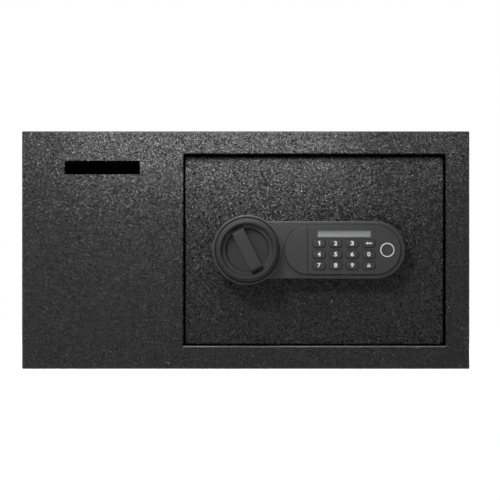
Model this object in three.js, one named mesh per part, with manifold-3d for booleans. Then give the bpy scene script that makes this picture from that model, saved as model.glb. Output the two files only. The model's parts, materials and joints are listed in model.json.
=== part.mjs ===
// Small steel drop safe with a front deposit slot and a hinged door with an electronic lock.
// Millimetres, +Z up, front towards -Y. The origin is the middle of the underside of the body.
// The door is shut and its bolts are drawn back.

import * as THREE from 'three';
import { mergeVertices } from 'three/addons/utils/BufferGeometryUtils.js';
import Module from 'manifold-3d';

const wasm = await Module();
wasm.setup();

// Fits shared by all pieces
const seatGap = 0.3;
const runningGap = 0.4;
const cutOverrun = 1;
const mergeTolerance = 1e-4;

// Facets of round surfaces; three.js draws an arc of an outline with twice the steps it is given
const cornerSteps = 3;
const bendSteps = 2;
const pillSteps = 3;
const halfRoundSteps = 8;
const tinyRoundSteps = 8;
const smallRoundSteps = 12;
const roundSteps = 24;
const largeRoundSteps = 48;

// Body
const bodyWidth = 450;
const bodyHeight = 239;
const bodyDepth = 350;
const bodySheet = 2.5;
const bodyInnerCornerRadius = 1;
const frontInnerBendRadius = 0.5;
const frontFlangeDepth = 15;

// Door opening in the front panel
const openingWidth = 265.2;
const openingRightMargin = 23.2;
const openingTopMargin = 22.3;
const openingBottomMargin = 22.5;
const openingCornerRadius = 2.5;
const openingEdgeRadius = 1.5;
const returnMargin = 2;
const jambMargin = 6;
const jambHoleClearance = 1.5;

// Deposit slot, chute and comb
const slotShareOfField = 0.468;
const slotHeight = 13.6;
const slotTopMargin = 29.8;
const chuteSheet = 1.5;
const chuteSideClearance = 2;
const chuteHeightClearance = 1.5;
const chuteRoofLength = 20;
const chuteReach = 62;
const chuteHoodDrop = 20.5;
const chuteBackDrop = 46;
const chuteShelfLength = 45;
const chuteShelfDrop = 20;
const chuteLipDrop = 14;
const chuteFlangeHeight = 9;
const combSheet = 1.5;
const combToothCount = 9;
const combToothHeight = 8;
const combEndGap = 1;

// Floor mat and anchor holes
const matThickness = 3;
const matEdgeGap = 2;
const matHoleMargin = 2;
const anchorHoleRadius = 5;
const anchorSideInset = 75;
const anchorFrontInset = 65;
const backAnchorHeight = 160;

// Door and its hinge pins
const doorGap = 2;
const doorRecess = 6;
const doorThickness = 5;
const doorCornerRadius = 1.5;
const doorEdgeRadius = 0.8;
const hingePinRadius = 3;
const hingePinInset = 24;
const hingePinHold = 25;
const hingePinReach = 12;
const hingeBushWall = 3;
const hingeBushLength = 8;
const hingeBushFlange = 2;
const hingeBushFlangeThickness = 1.5;

// Lock housing on the door; its places are measured from the knob's axis
const lockShift = -5.925;
const bossRadius = 35.2;
const bossDepth = 16;
const bossFilletRadius = 6;
const bossInnerEdgeRadius = 1;
const housingDepth = 14;
const housingWall = 2.5;
const housingEdgeRadius = 1.5;
const housingPostRadius = 3.2;
const housingPostInset = 44;
const housingPostRise = 20.5;
const housingEndPostReach = 19;
const housingEndPostRise = 12;
const knobRecessRadius = 32.3;
const knobRecessDepth = 5;

// Raised fascia, split by a seam into the keyhole cover and the keypad
const fasciaInset = 4.35;
const fasciaStart = 61.9;
const fasciaProud = 2;
const fasciaPocketDepth = 2;
const fasciaSheet = 1.8;
const fasciaWall = 1.6;
const fasciaEdgeRadius = 0.8;
const seamPlace = 60.7;
const seamGap = 0.5;

// Keys and display; the fascia's height and length follow from what it holds
const keyWidth = 13.2;
const keyHeight = 7.6;
const keyGap = 3.45;
const keySideInset = 4.8;
const keyBottomInset = 5;
const keyProud = 1.2;
const keyEdgeRadius = 0.7;
const keyFlangeMargin = 0.8;
const keyFlangeThickness = 0.8;
const keyStemRadius = 2;
const keyStemLength = 1.2;
const keyMatThickness = 1.1;
const keyMatMargin = 0.5;
const keyNames = [
  ['key_7', 'key_8', 'key_9', 'key_lock'],
  ['key_4', 'key_5', 'key_6', 'key_0'],
  ['key_1', 'key_2', 'key_3', 'key_back'],
];
const displayWidth = 53.6;
const displayHeight = 7;
const displayGap = 2.9;
const displayTopInset = 4.6;
const displayRecess = 1.4;
const displayLensThickness = 1;
const displayRebate = 1;

// Fingerprint reader
const fingerprintFromKeys = 18.65;
const fingerprintFromEnd = 11.1;
const fingerRingRadius = 7.1;
const fingerRingBore = 6;
const fingerRingProud = 0.4;
const fingerRingFlange = 1.1;
const fingerRingFlangeThickness = 1;
const fingerSensorRecess = 0.5;

// Circuit board
const boardPastArc = 12;
const boardEndGap = 5;
const boardThickness = 1.6;
const boardCornerRadius = 10;

// Emergency lock behind the keyhole cover
const overrideInset = 49.5;
const overrideBodyRadius = 7;
const overrideFlange = 1.4;
const overrideFlangeThickness = 1.2;
const overridePlugRadius = 5;
const overrideBehindDoor = 8;
const overrideNutWidth = 20;
const overrideNutThickness = 4;
const nutSides = 6;
const keywayWidth = 1.6;
const keywayHeight = 7;
const keywayDepth = 12;
const camThickness = 2.5;
const camLength = 12;
const camWidth = 7;

// Knob
const knobRadius = 29;
const knobHeight = 17.6;
const knobLipWidth = 1.2;
const knobLedgeOuterRadius = 24.6;
const knobLedgeInnerRadius = 22.5;
const knobFloorRadius = 20.6;
const knobLedgeDrop = 6.5;
const knobFloorDrop = 10.5;
const knobFloorThickness = 2.5;
const knobSideWall = 2.2;
const knobHubRadius = 8.5;
const knobEdgeRadius = 1;
const gripWidth = 12.8;
const gripDrop = 0.8;
const gripEdge = 1;
const gripEndSlope = 4;
const knobTiltDegrees = 26.6;

// Spindle, its bush, and the crank behind the door
const spindleRadius = 4;
const spindleFlatDepth = 1;
const spindleInKnob = 11;
const spindleBushWall = 2.6;
const spindleBushFlange = 2;
const spindleBushFlangeThickness = 1.5;
const crankRadius = 16;
const crankHalfSwingDegrees = 35;
const crankHubRadius = 9;
const crankEndRadius = 5.5;
const crankThickness = 5;
const crankClearance = 1.5;
const crankPinRadius = 3;
const crankPinPast = 1.5;
const crankSlotPlay = 0.6;

// Bolt carriage, bolts, guide and studs; the mechanism's middle plane lies behind the door
const mechanismDepth = 14;
const carriageSheet = 3;
const carriageWeb = 7;
const carriageEarHeight = 8;
const carriageEarLength = 11;
const carriageTailReach = 22;
const carriageTailHeight = 12;
const boltRadius = 8;
const boltSpacing = 100;
const boltTipInset = 4.5;
const boltRootGap = 2;
const boltNoseChamfer = 1.5;
const guideInset = 11;
const guideSheet = 2.5;
const guideFootShare = 0.44;
const guideEnd = 8;
const studInset = 11.6;
const studFromBolt = 15;
const studRadius = 4;
const studNeckRadius = 2.5;
const studHeadRadius = 4.5;
const studHeadThickness = 2.2;

// Solenoid that blocks the carriage's tail
const plungerRadius = 4;
const plungerTailInset = 5;
const plungerLength = 32;
const plungerCollar = 2;
const plungerCollarHeight = 1.5;
const plungerCollarPlace = 1.5;
const solenoidRise = 14;
const solenoidHeight = 30;
const solenoidWidth = 20;
const solenoidSheet = 1.5;
const coilWall = 4.1;

// Inner door cover, battery compartment and reset button
const coverLeftInset = 6.5;
const coverRightInset = 34.8;
const coverEndInset = 6;
const coverDepth = 40;
const coverWall = 2.5;
const coverCornerRadius = 6;
const coverEdgeRadius = 2;
const batteryRadius = 7.25;
const batteryLength = 49;
const batteryNubRadius = 2.7;
const batteryNubLength = 1.5;
const batteryCount = 4;
const batterySpace = 0.6;
const batteryCover = 1;
const trayWall = 1.5;
const trayRimGap = 0.8;
const trayFlange = 3;
const lidGap = 0.8;
const lidPegRadius = 0.6;
const lidPegLength = 2;
const resetPlaceX = 60;
const resetRadius = 3.5;
const resetProud = 1.5;
const resetFlange = 1.5;
const resetFlangeThickness = 1.3;
const cableHoleRadius = 6;
const cableHolePlace = 100;

// Worked out: the body, in its own frame
const bodyCornerRadius = bodyInnerCornerRadius + bodySheet;
const frontBendRadius = frontInnerBendRadius + bodySheet;
const frontY = -bodyDepth / 2;
const backY = bodyDepth / 2;
const flangeY = frontY + frontFlangeDepth;
const panelInnerY = frontY + bodySheet;
const backInnerY = backY - bodySheet;
const middleZ = bodyHeight / 2;
const openingRight = bodyWidth / 2 - openingRightMargin;
const openingLeft = openingRight - openingWidth;
const openingBottom = openingBottomMargin;
const openingTop = bodyHeight - openingTopMargin;
const openingHeight = openingTop - openingBottom;
const openingX = (openingLeft + openingRight) / 2;
const openingZ = (openingBottom + openingTop) / 2;
const anchorColumns = [anchorSideInset - bodyWidth / 2, bodyWidth / 2 - anchorSideInset];
const floorAnchorPlaces = anchorColumns.flatMap(x => (
  [[x, frontY + anchorFrontInset], [x, backY - anchorFrontInset]]
));
const slotX = (openingLeft - bodyWidth / 2) / 2;
const slotWidth = slotShareOfField * (openingLeft + bodyWidth / 2);
const slotZ = bodyHeight - slotTopMargin - slotHeight / 2;

// Worked out: the door's frame has its origin at the middle of the door's outer face
const doorWidth = openingWidth - 2 * doorGap;
const doorHeight = openingHeight - 2 * doorGap;
const doorFaceY = frontY + doorRecess;
const hingePinY = doorThickness + seatGap + hingePinRadius;
const hingePinX = doorWidth / 2 - hingePinInset;
const hingeBushBore = hingePinRadius + seatGap;
const hingeBushRadius = hingeBushBore + hingeBushWall;
const hingeBushFlangeRadius = hingeBushRadius + hingeBushFlange;

// Worked out: depths behind the door's outer face; negative ones stand in front of it
const housingFrontY = -housingDepth;
const housingHollowY = housingFrontY + housingWall;
const bossFrontY = -bossDepth;
const recessFloorY = bossFrontY + knobRecessDepth;
const recessBackY = recessFloorY + housingWall;
const fasciaFrontY = housingFrontY - fasciaProud;
const fasciaBackY = fasciaFrontY + fasciaSheet;
const pocketFloorY = housingFrontY + fasciaPocketDepth;
const pocketBackY = pocketFloorY + housingWall;
const fasciaSeatY = pocketFloorY - seatGap;
const boardFrontY = pocketBackY + seatGap;
const mechanismY = doorThickness + mechanismDepth;
const carriageFrontY = mechanismY - carriageSheet / 2;
const carriageBackY = mechanismY + carriageSheet / 2;
const coverBackY = doorThickness + coverDepth;
const coverInnerY = coverBackY - coverWall;

// Worked out: the lock, in X and Z from the knob's axis
const keyRows = keyNames.length;
const keyColumns = keyNames[0].length;
const keyPitchX = keyWidth + keyGap;
const keyPitchZ = keyHeight + keyGap;
const fasciaHeight = keyBottomInset + keyRows * keyHeight + (keyRows - 1) * keyGap
  + displayGap + displayHeight + displayTopInset;
const fasciaRadius = fasciaHeight / 2;
const housingRadius = fasciaRadius + fasciaInset;
const keyFirstX = seamPlace + keySideInset + keyWidth / 2;
const keyLastX = keyFirstX + (keyColumns - 1) * keyPitchX;
const keyFirstZ = keyBottomInset + keyHeight / 2 - fasciaRadius;
const keyLastZ = keyFirstZ + (keyRows - 1) * keyPitchZ;
const displayX = (keyFirstX + keyLastX) / 2;
const displayZ = keyLastZ + keyHeight / 2 + displayGap + displayHeight / 2;
const fingerprintX = keyLastX + fingerprintFromKeys;
const arcCentreX = fingerprintX - fingerprintFromEnd;
const housingMiddleX = (arcCentreX + housingRadius - bossRadius) / 2;
const lockX = lockShift - housingMiddleX;
const knobInset = lockX + doorWidth / 2;
const keyReachX = keyWidth / 2 + keyFlangeMargin + keyMatMargin;
const keyReachZ = keyHeight / 2 + keyFlangeMargin + keyMatMargin;
const windowLeft = keyFirstX - keyReachX;
const windowRight = keyLastX + keyReachX;
const windowBottom = keyFirstZ - keyReachZ;
const windowTop = displayZ + displayHeight / 2 + displayRebate + keyMatMargin;
const keyMatTop = keyLastZ + keyHeight / 2 + keyFlangeMargin;

// Worked out: the bolt work, with the door shut and the bolts drawn back
const crankHalfSwing = THREE.MathUtils.degToRad(crankHalfSwingDegrees);
const boltTravel = 2 * crankRadius * Math.sin(crankHalfSwing);
const crankSlotX = crankRadius * Math.sin(crankHalfSwing);
const crankSlotHalf = crankPinRadius + crankSlotPlay;
const crankBackY = carriageFrontY - crankClearance;
const carriageLeft = -studInset - studNeckRadius - seatGap - carriageWeb;
const carriageRight = crankSlotX + crankSlotHalf + carriageWeb;
const carriageTailX = carriageRight + carriageTailReach;
const carriageTailTop = carriageTailHeight / 2;
const boltTipX = boltTipInset - knobInset;
const boltRootX = carriageLeft - boltRootGap;
const boltHoleRadius = boltRadius + runningGap;
const guideX = guideInset - knobInset;
const guideFoot = guideFootShare * (-studInset - studRadius - guideX);
const plungerX = carriageTailX - plungerTailInset;
const solenoidRight = plungerX + solenoidWidth / 2;
const studZ = boltSpacing / 2 - studFromBolt;

// Worked out: the cover's inner walls, the battery compartment and the reset button
const coverInnerRight = doorWidth / 2 - coverRightInset - coverWall - lockX;
const coverInnerBottom = coverEndInset + coverWall - doorHeight / 2;
const batteryPlace = (solenoidRight + coverInnerRight) / 2;
const batteryPitch = 2 * batteryRadius + batterySpace;
const trayWidth = batteryLength + batteryNubLength + 2 * (batterySpace + trayWall);
const trayHeight = batteryCount * batteryPitch + 2 * trayWall;
const trayRimY = coverInnerY - trayRimGap;
const batteryY = trayRimY - batteryCover - batteryRadius;
const trayFloorY = batteryY - batteryRadius - seatGap;
const resetPlaceZ = (coverInnerBottom - trayHeight / 2 - trayFlange) / 2;

// Materials
const paintedSteel = new THREE.MeshStandardMaterial({ color: 0x3f3f40, roughness: 0.55, metalness: 0.2 });
const brightSteel = new THREE.MeshStandardMaterial({ color: 0xb4b6b8, roughness: 0.3, metalness: 1 });
const plainSteel = new THREE.MeshStandardMaterial({ color: 0x8d8f90, roughness: 0.45, metalness: 0.9 });
const brass = new THREE.MeshStandardMaterial({ color: 0xb08d4a, roughness: 0.35, metalness: 1 });
const copper = new THREE.MeshStandardMaterial({ color: 0x9a5a30, roughness: 0.45, metalness: 0.8 });
const matteBlack = new THREE.MeshStandardMaterial({ color: 0x454545, roughness: 0.6, metalness: 0 });
const darkGlass = new THREE.MeshStandardMaterial({ color: 0x15181c, roughness: 0.15, metalness: 0 });
const displayGlass = new THREE.MeshStandardMaterial({ color: 0x868a8c, roughness: 0.2, metalness: 0 });
const whitePlastic = new THREE.MeshStandardMaterial({ color: 0xe8e8e8, roughness: 0.4, metalness: 0 });
const blackRubber = new THREE.MeshStandardMaterial({ color: 0x202020, roughness: 0.85, metalness: 0 });
const greyFelt = new THREE.MeshStandardMaterial({ color: 0x4a4a4c, roughness: 1, metalness: 0 });
const greenBoard = new THREE.MeshStandardMaterial({ color: 0x1f5a35, roughness: 0.5, metalness: 0 });
const blackPlastic = new THREE.MeshStandardMaterial({ color: 0x26272a, roughness: 0.5, metalness: 0 });
const redPlastic = new THREE.MeshStandardMaterial({ color: 0xb02318, roughness: 0.4, metalness: 0 });
const batteryWrap = new THREE.MeshStandardMaterial({ color: 0x2c3a4a, roughness: 0.35, metalness: 0.3 });

// Solids from three.js geometry

function solid(geometry) {
  geometry.deleteAttribute('normal');
  geometry.deleteAttribute('uv');
  const merged = mergeVertices(geometry, mergeTolerance);
  const corners = merged.index.array;
  const triangles = [];
  for (let i = 0; i < corners.length; i += 3) {
    const [a, b, c] = corners.slice(i, i + 3);
    if (a !== b && b !== c && c !== a) {
      triangles.push(a, b, c);
    }
  }
  return new wasm.Manifold(new wasm.Mesh({
    numProp: 3,
    vertProperties: merged.attributes.position.array,
    triVerts: new Uint32Array(triangles),
  }));
}

function piece(parent, name, shape, material) {
  const { vertProperties, triVerts } = shape.getMesh();
  const geometry = new THREE.BufferGeometry();
  geometry.setAttribute('position', new THREE.BufferAttribute(new Float32Array(vertProperties), 3));
  geometry.setIndex(new THREE.BufferAttribute(new Uint32Array(triVerts), 1));
  geometry.computeVertexNormals();
  const mesh = new THREE.Mesh(geometry, material);
  mesh.name = name;
  parent.add(mesh);
  return mesh;
}

function group(parent, x, y, z) {
  const child = new THREE.Group();
  child.position.set(x, y, z);
  parent.add(child);
  return child;
}

function block(x1, x2, y1, y2, z1, z2) {
  const geometry = new THREE.BoxGeometry(x2 - x1, y2 - y1, z2 - z1);
  geometry.translate((x1 + x2) / 2, (y1 + y2) / 2, (z1 + z2) / 2);
  return solid(geometry);
}

function rodX(radius, x1, x2, y, z, steps) {
  const geometry = new THREE.CylinderGeometry(radius, radius, Math.abs(x2 - x1), steps);
  geometry.rotateZ(Math.PI / 2);
  geometry.translate((x1 + x2) / 2, y, z);
  return solid(geometry);
}

function rodY(radius, y1, y2, x, z, steps) {
  const geometry = new THREE.CylinderGeometry(radius, radius, Math.abs(y2 - y1), steps);
  geometry.translate(x, (y1 + y2) / 2, z);
  return solid(geometry);
}

function rodZ(radius, z1, z2, x, y, steps) {
  const geometry = new THREE.CylinderGeometry(radius, radius, Math.abs(z2 - z1), steps);
  geometry.rotateX(Math.PI / 2);
  geometry.translate(x, y, (z1 + z2) / 2);
  return solid(geometry);
}

// A profile of [radius, y] points, listed with y rising on the outside, turned about an axis along Y
function turned(profile, x, z, steps) {
  const points = profile.map(([radius, y]) => new THREE.Vector2(radius, y));
  const geometry = new THREE.LatheGeometry(points, steps);
  geometry.translate(x, 0, z);
  return solid(geometry);
}

// A shape drawn in X and Z, as seen from the front, between two depths
function prism(shape, y1, y2, steps) {
  const geometry = new THREE.ExtrudeGeometry(shape, {
    depth: y2 - y1,
    bevelEnabled: false,
    curveSegments: steps,
  });
  geometry.rotateX(Math.PI / 2);
  geometry.translate(0, y2, 0);
  return solid(geometry);
}

// The same with its front edge rounded: the rounding at the back is made past y2 and cut off
function mouldedPrism(shape, y1, y2, edgeRadius, steps) {
  const geometry = new THREE.ExtrudeGeometry(shape, {
    depth: y2 - y1,
    bevelEnabled: true,
    bevelThickness: edgeRadius,
    bevelSize: edgeRadius,
    bevelOffset: -edgeRadius,
    bevelSegments: 2,
    curveSegments: steps,
  });
  geometry.rotateX(Math.PI / 2);
  geometry.translate(0, y2 + edgeRadius, 0);
  const whole = solid(geometry);
  const { min, max } = whole.boundingBox();
  const behind = block(min[0] - cutOverrun, max[0] + cutOverrun, y2, y2 + 2 * edgeRadius + cutOverrun,
    min[2] - cutOverrun, max[2] + cutOverrun);
  return whole.subtract(behind);
}

// A shape drawn in depth (X of the shape) and height (Y of the shape), across a width along X
function sidePrism(points, x1, x2) {
  const shape = new THREE.Shape(points.map(([y, z]) => new THREE.Vector2(y, z)));
  const geometry = new THREE.ExtrudeGeometry(shape, { depth: x2 - x1, bevelEnabled: false });
  geometry.rotateX(Math.PI / 2);
  geometry.rotateZ(Math.PI / 2);
  geometry.translate(x1, 0, 0);
  return solid(geometry);
}

// Outlines in X and Z

function roundedRectangle(width, height, radius, x, z) {
  const shape = new THREE.Shape();
  const [right, top] = [width / 2 - radius, height / 2 - radius];
  shape.absarc(x + right, z + top, radius, 0, Math.PI / 2);
  shape.absarc(x - right, z + top, radius, Math.PI / 2, Math.PI);
  shape.absarc(x - right, z - top, radius, Math.PI, 3 * Math.PI / 2);
  shape.absarc(x + right, z - top, radius, 3 * Math.PI / 2, 2 * Math.PI);
  return shape;
}

function stadium(x1, x2, radius, z) {
  const shape = new THREE.Shape();
  shape.absarc(x2, z, radius, -Math.PI / 2, Math.PI / 2);
  shape.absarc(x1, z, radius, Math.PI / 2, 3 * Math.PI / 2);
  return shape;
}

function uprightStadium(x, z1, z2, radius) {
  const shape = new THREE.Shape();
  shape.absarc(x, z2, radius, 0, Math.PI);
  shape.absarc(x, z1, radius, Math.PI, 2 * Math.PI);
  return shape;
}

// The housing's outline: the boss circle runs into the straight sides through two fillets
function housingOutline(inset) {
  const boss = bossRadius - inset;
  const half = housingRadius - inset;
  const fillet = bossFilletRadius + inset;
  const filletX = Math.sqrt((boss + fillet) ** 2 - (half + fillet) ** 2);
  const angle = Math.atan2(half + fillet, filletX);
  const shape = new THREE.Shape();
  shape.absarc(arcCentreX, 0, half, -Math.PI / 2, Math.PI / 2);
  shape.absarc(filletX, half + fillet, fillet, 3 * Math.PI / 2, Math.PI + angle, true);
  shape.absarc(0, 0, boss, angle, 2 * Math.PI - angle);
  shape.absarc(filletX, -half - fillet, fillet, Math.PI - angle, Math.PI / 2, true);
  return shape;
}

// Rings of a rounded rectangle, each [y, inset] and listed from front to back, joined into a block
function ringedBlock(width, height, cornerRadius, x, z, rings) {
  const positions = [];
  const triangles = [];
  const count = 4 * (cornerSteps + 1);
  for (const [y, inset] of rings) {
    for (let corner = 0; corner < 4; corner += 1) {
      const right = (width / 2 - cornerRadius) * (corner === 0 || corner === 3 ? 1 : -1);
      const top = (height / 2 - cornerRadius) * (corner < 2 ? 1 : -1);
      for (let step = 0; step <= cornerSteps; step += 1) {
        const angle = (corner + step / cornerSteps) * Math.PI / 2;
        const radius = cornerRadius - inset;
        positions.push(x + right + radius * Math.cos(angle), y, z + top + radius * Math.sin(angle));
      }
    }
  }
  for (let ring = 0; ring < rings.length - 1; ring += 1) {
    for (let i = 0; i < count; i += 1) {
      const near = ring * count + i;
      const next = ring * count + (i + 1) % count;
      triangles.push(near, near + count, next, next, near + count, next + count);
    }
  }
  const last = (rings.length - 1) * count;
  for (let i = 1; i < count - 1; i += 1) {
    triangles.push(0, i, i + 1, last, last + i + 1, last + i);
  }
  const geometry = new THREE.BufferGeometry();
  geometry.setAttribute('position', new THREE.Float32BufferAttribute(positions, 3));
  geometry.setIndex(triangles);
  return solid(geometry);
}

// Quarter-round pairs [depth, inset] from an edge's face to its side
function quarterRound(radius) {
  return Array.from({ length: cornerSteps + 1 }, (_, step) => {
    const angle = step / cornerSteps * Math.PI / 2;
    return [radius * (1 - Math.cos(angle)), radius * (1 - Math.sin(angle))];
  });
}

function roundedFront(y1, y2, radius) {
  return [...quarterRound(radius).map(([depth, inset]) => [y1 + depth, inset]), [y2, 0]];
}

function roundedBack(y1, y2, radius) {
  return [[y1, 0], ...quarterRound(radius).reverse().map(([depth, inset]) => [y2 - depth, inset])];
}

// A cutter whose mouth flares, so that the hole it makes has a rounded front edge
function flaredFront(y1, y2, radius) {
  const flare = quarterRound(radius).map(([depth, inset]) => [y1 + depth, -inset]);
  return [[y1 - cutOverrun, -radius], ...flare, [y2, 0]];
}

// Body pieces

function bodyWrap(parent) {
  const outline = roundedRectangle(bodyWidth, bodyHeight, bodyCornerRadius, 0, middleZ);
  outline.holes.push(roundedRectangle(bodyWidth - 2 * bodySheet, bodyHeight - 2 * bodySheet,
    bodyInnerCornerRadius, 0, middleZ));
  let wrap = prism(outline, flangeY, backY, bendSteps);
  for (const [x, y] of floorAnchorPlaces) {
    wrap = wrap.subtract(rodZ(anchorHoleRadius, -cutOverrun, bodySheet + cutOverrun,
      x, y, tinyRoundSteps));
  }
  piece(parent, 'body_wrap', wrap, paintedSteel);
}

function frontPanel(parent) {
  const returnBackY = doorFaceY + hingePinY + hingeBushFlangeRadius + returnMargin;
  const jambBackY = doorFaceY + mechanismY + boltRadius + jambMargin;
  const pan = ringedBlock(bodyWidth, bodyHeight, bodyCornerRadius, 0, middleZ,
    roundedFront(frontY, flangeY, frontBendRadius));
  const panHollow = prism(roundedRectangle(bodyWidth - 2 * bodySheet, bodyHeight - 2 * bodySheet,
    bodyInnerCornerRadius, 0, middleZ), panelInnerY, flangeY + cutOverrun, bendSteps);
  const returns = prism(roundedRectangle(openingWidth + 2 * bodySheet, openingHeight + 2 * bodySheet,
    openingCornerRadius + bodySheet, openingX, openingZ), frontY + bodySheet / 2, returnBackY, bendSteps);
  const jamb = block(openingLeft - bodySheet, openingLeft, panelInnerY, jambBackY,
    openingBottom + openingCornerRadius, openingTop - openingCornerRadius);
  const opening = ringedBlock(openingWidth, openingHeight, openingCornerRadius, openingX, openingZ,
    flaredFront(frontY, jambBackY + cutOverrun, openingEdgeRadius));
  const slot = block(slotX - slotWidth / 2, slotX + slotWidth / 2,
    frontY - cutOverrun, panelInnerY + cutOverrun, slotZ - slotHeight / 2, slotZ + slotHeight / 2);
  let panel = pan.subtract(panHollow).add(returns).subtract(opening).add(jamb).subtract(slot);
  for (const z of [openingZ - boltSpacing / 2, openingZ + boltSpacing / 2]) {
    panel = panel.subtract(rodX(boltRadius + jambHoleClearance, openingLeft - bodySheet - cutOverrun,
      openingLeft + cutOverrun, doorFaceY + mechanismY, z, roundSteps));
  }
  for (const z of [openingTop + bodySheet / 2, openingBottom - bodySheet / 2]) {
    panel = panel.subtract(rodZ(hingeBushRadius + seatGap, z - bodySheet, z + bodySheet,
      openingX + hingePinX, doorFaceY + hingePinY, smallRoundSteps));
  }
  piece(parent, 'front_panel', panel, paintedSteel);
}

function backPanel(parent) {
  const trim = 2 * (bodySheet + seatGap);
  let panel = prism(roundedRectangle(bodyWidth - trim, bodyHeight - trim, bodyInnerCornerRadius, 0, middleZ),
    backInnerY, backY, bendSteps);
  for (const x of anchorColumns) {
    panel = panel.subtract(rodY(anchorHoleRadius, backInnerY - cutOverrun, backY + cutOverrun,
      x, backAnchorHeight, smallRoundSteps));
  }
  piece(parent, 'back_panel', panel, paintedSteel);
}

// A hood and a shelf lead what is dropped down and back; its origin is the slot's inner edge
function depositChute(parent) {
  const chute = group(parent, slotX, panelInnerY, slotZ);
  const half = slotWidth / 2 + chuteSideClearance;
  const mouth = slotHeight / 2 + chuteHeightClearance;
  const roofSheet = chuteSheet * Math.hypot(1, chuteHoodDrop / (chuteReach - chuteRoofLength));
  const shelfSlope = chuteShelfDrop / chuteShelfLength;
  const shelfSheet = chuteSheet * Math.hypot(1, shelfSlope);
  const hoodZ = mouth - chuteHoodDrop;
  const endZ = hoodZ - chuteBackDrop;
  const shelfZ = -mouth - chuteShelfDrop;
  const lipZ = shelfZ - chuteLipDrop;
  const lipFrontY = chuteShelfLength - chuteSheet;
  const outer = sidePrism([
    [0, mouth + chuteSheet],
    [chuteRoofLength, mouth + chuteSheet],
    [chuteReach + chuteSheet, hoodZ + roofSheet],
    [chuteReach + chuteSheet, endZ],
    [lipFrontY, lipZ],
    [lipFrontY, -mouth - shelfSlope * lipFrontY - shelfSheet],
    [0, -mouth - shelfSheet],
  ], -half - chuteSheet, half + chuteSheet);
  const passage = sidePrism([
    [-cutOverrun, mouth],
    [chuteRoofLength, mouth],
    [chuteReach, hoodZ],
    [chuteReach, endZ - cutOverrun],
    [chuteShelfLength, endZ - cutOverrun],
    [chuteShelfLength, shelfZ],
    [0, -mouth],
    [-cutOverrun, -mouth],
  ], -half, half);
  const flangeTop = mouth + chuteSheet + chuteFlangeHeight;
  const flange = block(-half - chuteSheet, half + chuteSheet, 0, chuteSheet, -flangeTop, flangeTop);
  piece(chute, 'deposit_chute', outer.add(flange).subtract(passage), paintedSteel);

  const combHalf = half - combEndGap;
  const toothWidth = 2 * combHalf / combToothCount;
  const comb = new THREE.Shape([new THREE.Vector2(combHalf, lipZ), new THREE.Vector2(combHalf, shelfZ)]);
  for (let tooth = 0; tooth < combToothCount; tooth += 1) {
    const right = combHalf - tooth * toothWidth;
    comb.lineTo(right - toothWidth / 2, shelfZ + combToothHeight);
    comb.lineTo(right - toothWidth, shelfZ);
  }
  comb.lineTo(-combHalf, lipZ);
  const combY = chuteShelfLength + seatGap;
  piece(chute, 'anti_fishing_comb', prism(comb, combY, combY + combSheet, bendSteps), paintedSteel);
}

function floorMat(parent) {
  const half = bodyWidth / 2 - bodySheet - matEdgeGap;
  let mat = block(-half, half, panelInnerY + matEdgeGap, backInnerY - matEdgeGap,
    bodySheet, bodySheet + matThickness);
  for (const [x, y] of floorAnchorPlaces) {
    mat = mat.subtract(rodZ(anchorHoleRadius + matHoleMargin, bodySheet - cutOverrun,
      bodySheet + matThickness + cutOverrun, x, y, tinyRoundSteps));
  }
  piece(parent, 'floor_mat', mat, greyFelt);
}

// Each bush stands in a return of the front panel, with its flange on the hidden side
function hingeBush(parent, name, edgeZ, way) {
  const [x, y] = [openingX + hingePinX, doorFaceY + hingePinY];
  const endZ = edgeZ + way * hingeBushLength;
  const flangeZ = edgeZ + way * (bodySheet + seatGap);
  const bush = rodZ(hingeBushRadius, edgeZ, endZ, x, y, smallRoundSteps)
    .add(rodZ(hingeBushFlangeRadius, flangeZ, flangeZ + way * hingeBushFlangeThickness,
      x, y, smallRoundSteps))
    .subtract(rodZ(hingeBushBore, edgeZ - way * cutOverrun, endZ + way * cutOverrun, x, y, smallRoundSteps));
  piece(parent, name, bush, paintedSteel);
}

// Door pieces, in the door's frame

function doorPanel(parent) {
  const plate = ringedBlock(doorWidth, doorHeight, doorCornerRadius, 0, 0,
    roundedFront(0, doorThickness, doorEdgeRadius));
  const through = (radius, x, steps) => rodY(radius, -cutOverrun, doorThickness + cutOverrun, x, 0, steps);
  const holes = through(spindleRadius + runningGap + spindleBushWall + seatGap, lockX, roundSteps)
    .add(through(overrideBodyRadius + seatGap, lockX + overrideInset, roundSteps))
    .add(through(cableHoleRadius, lockX + cableHolePlace, smallRoundSteps));
  piece(parent, 'door_panel', plate.subtract(holes), paintedSteel);
}

function hingePin(parent, name, way) {
  const doorEdgeZ = way * doorHeight / 2;
  piece(parent, name, rodZ(hingePinRadius, doorEdgeZ - way * hingePinHold,
    doorEdgeZ + way * (doorGap + hingePinReach), hingePinX, hingePinY, smallRoundSteps), paintedSteel);
}

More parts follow.
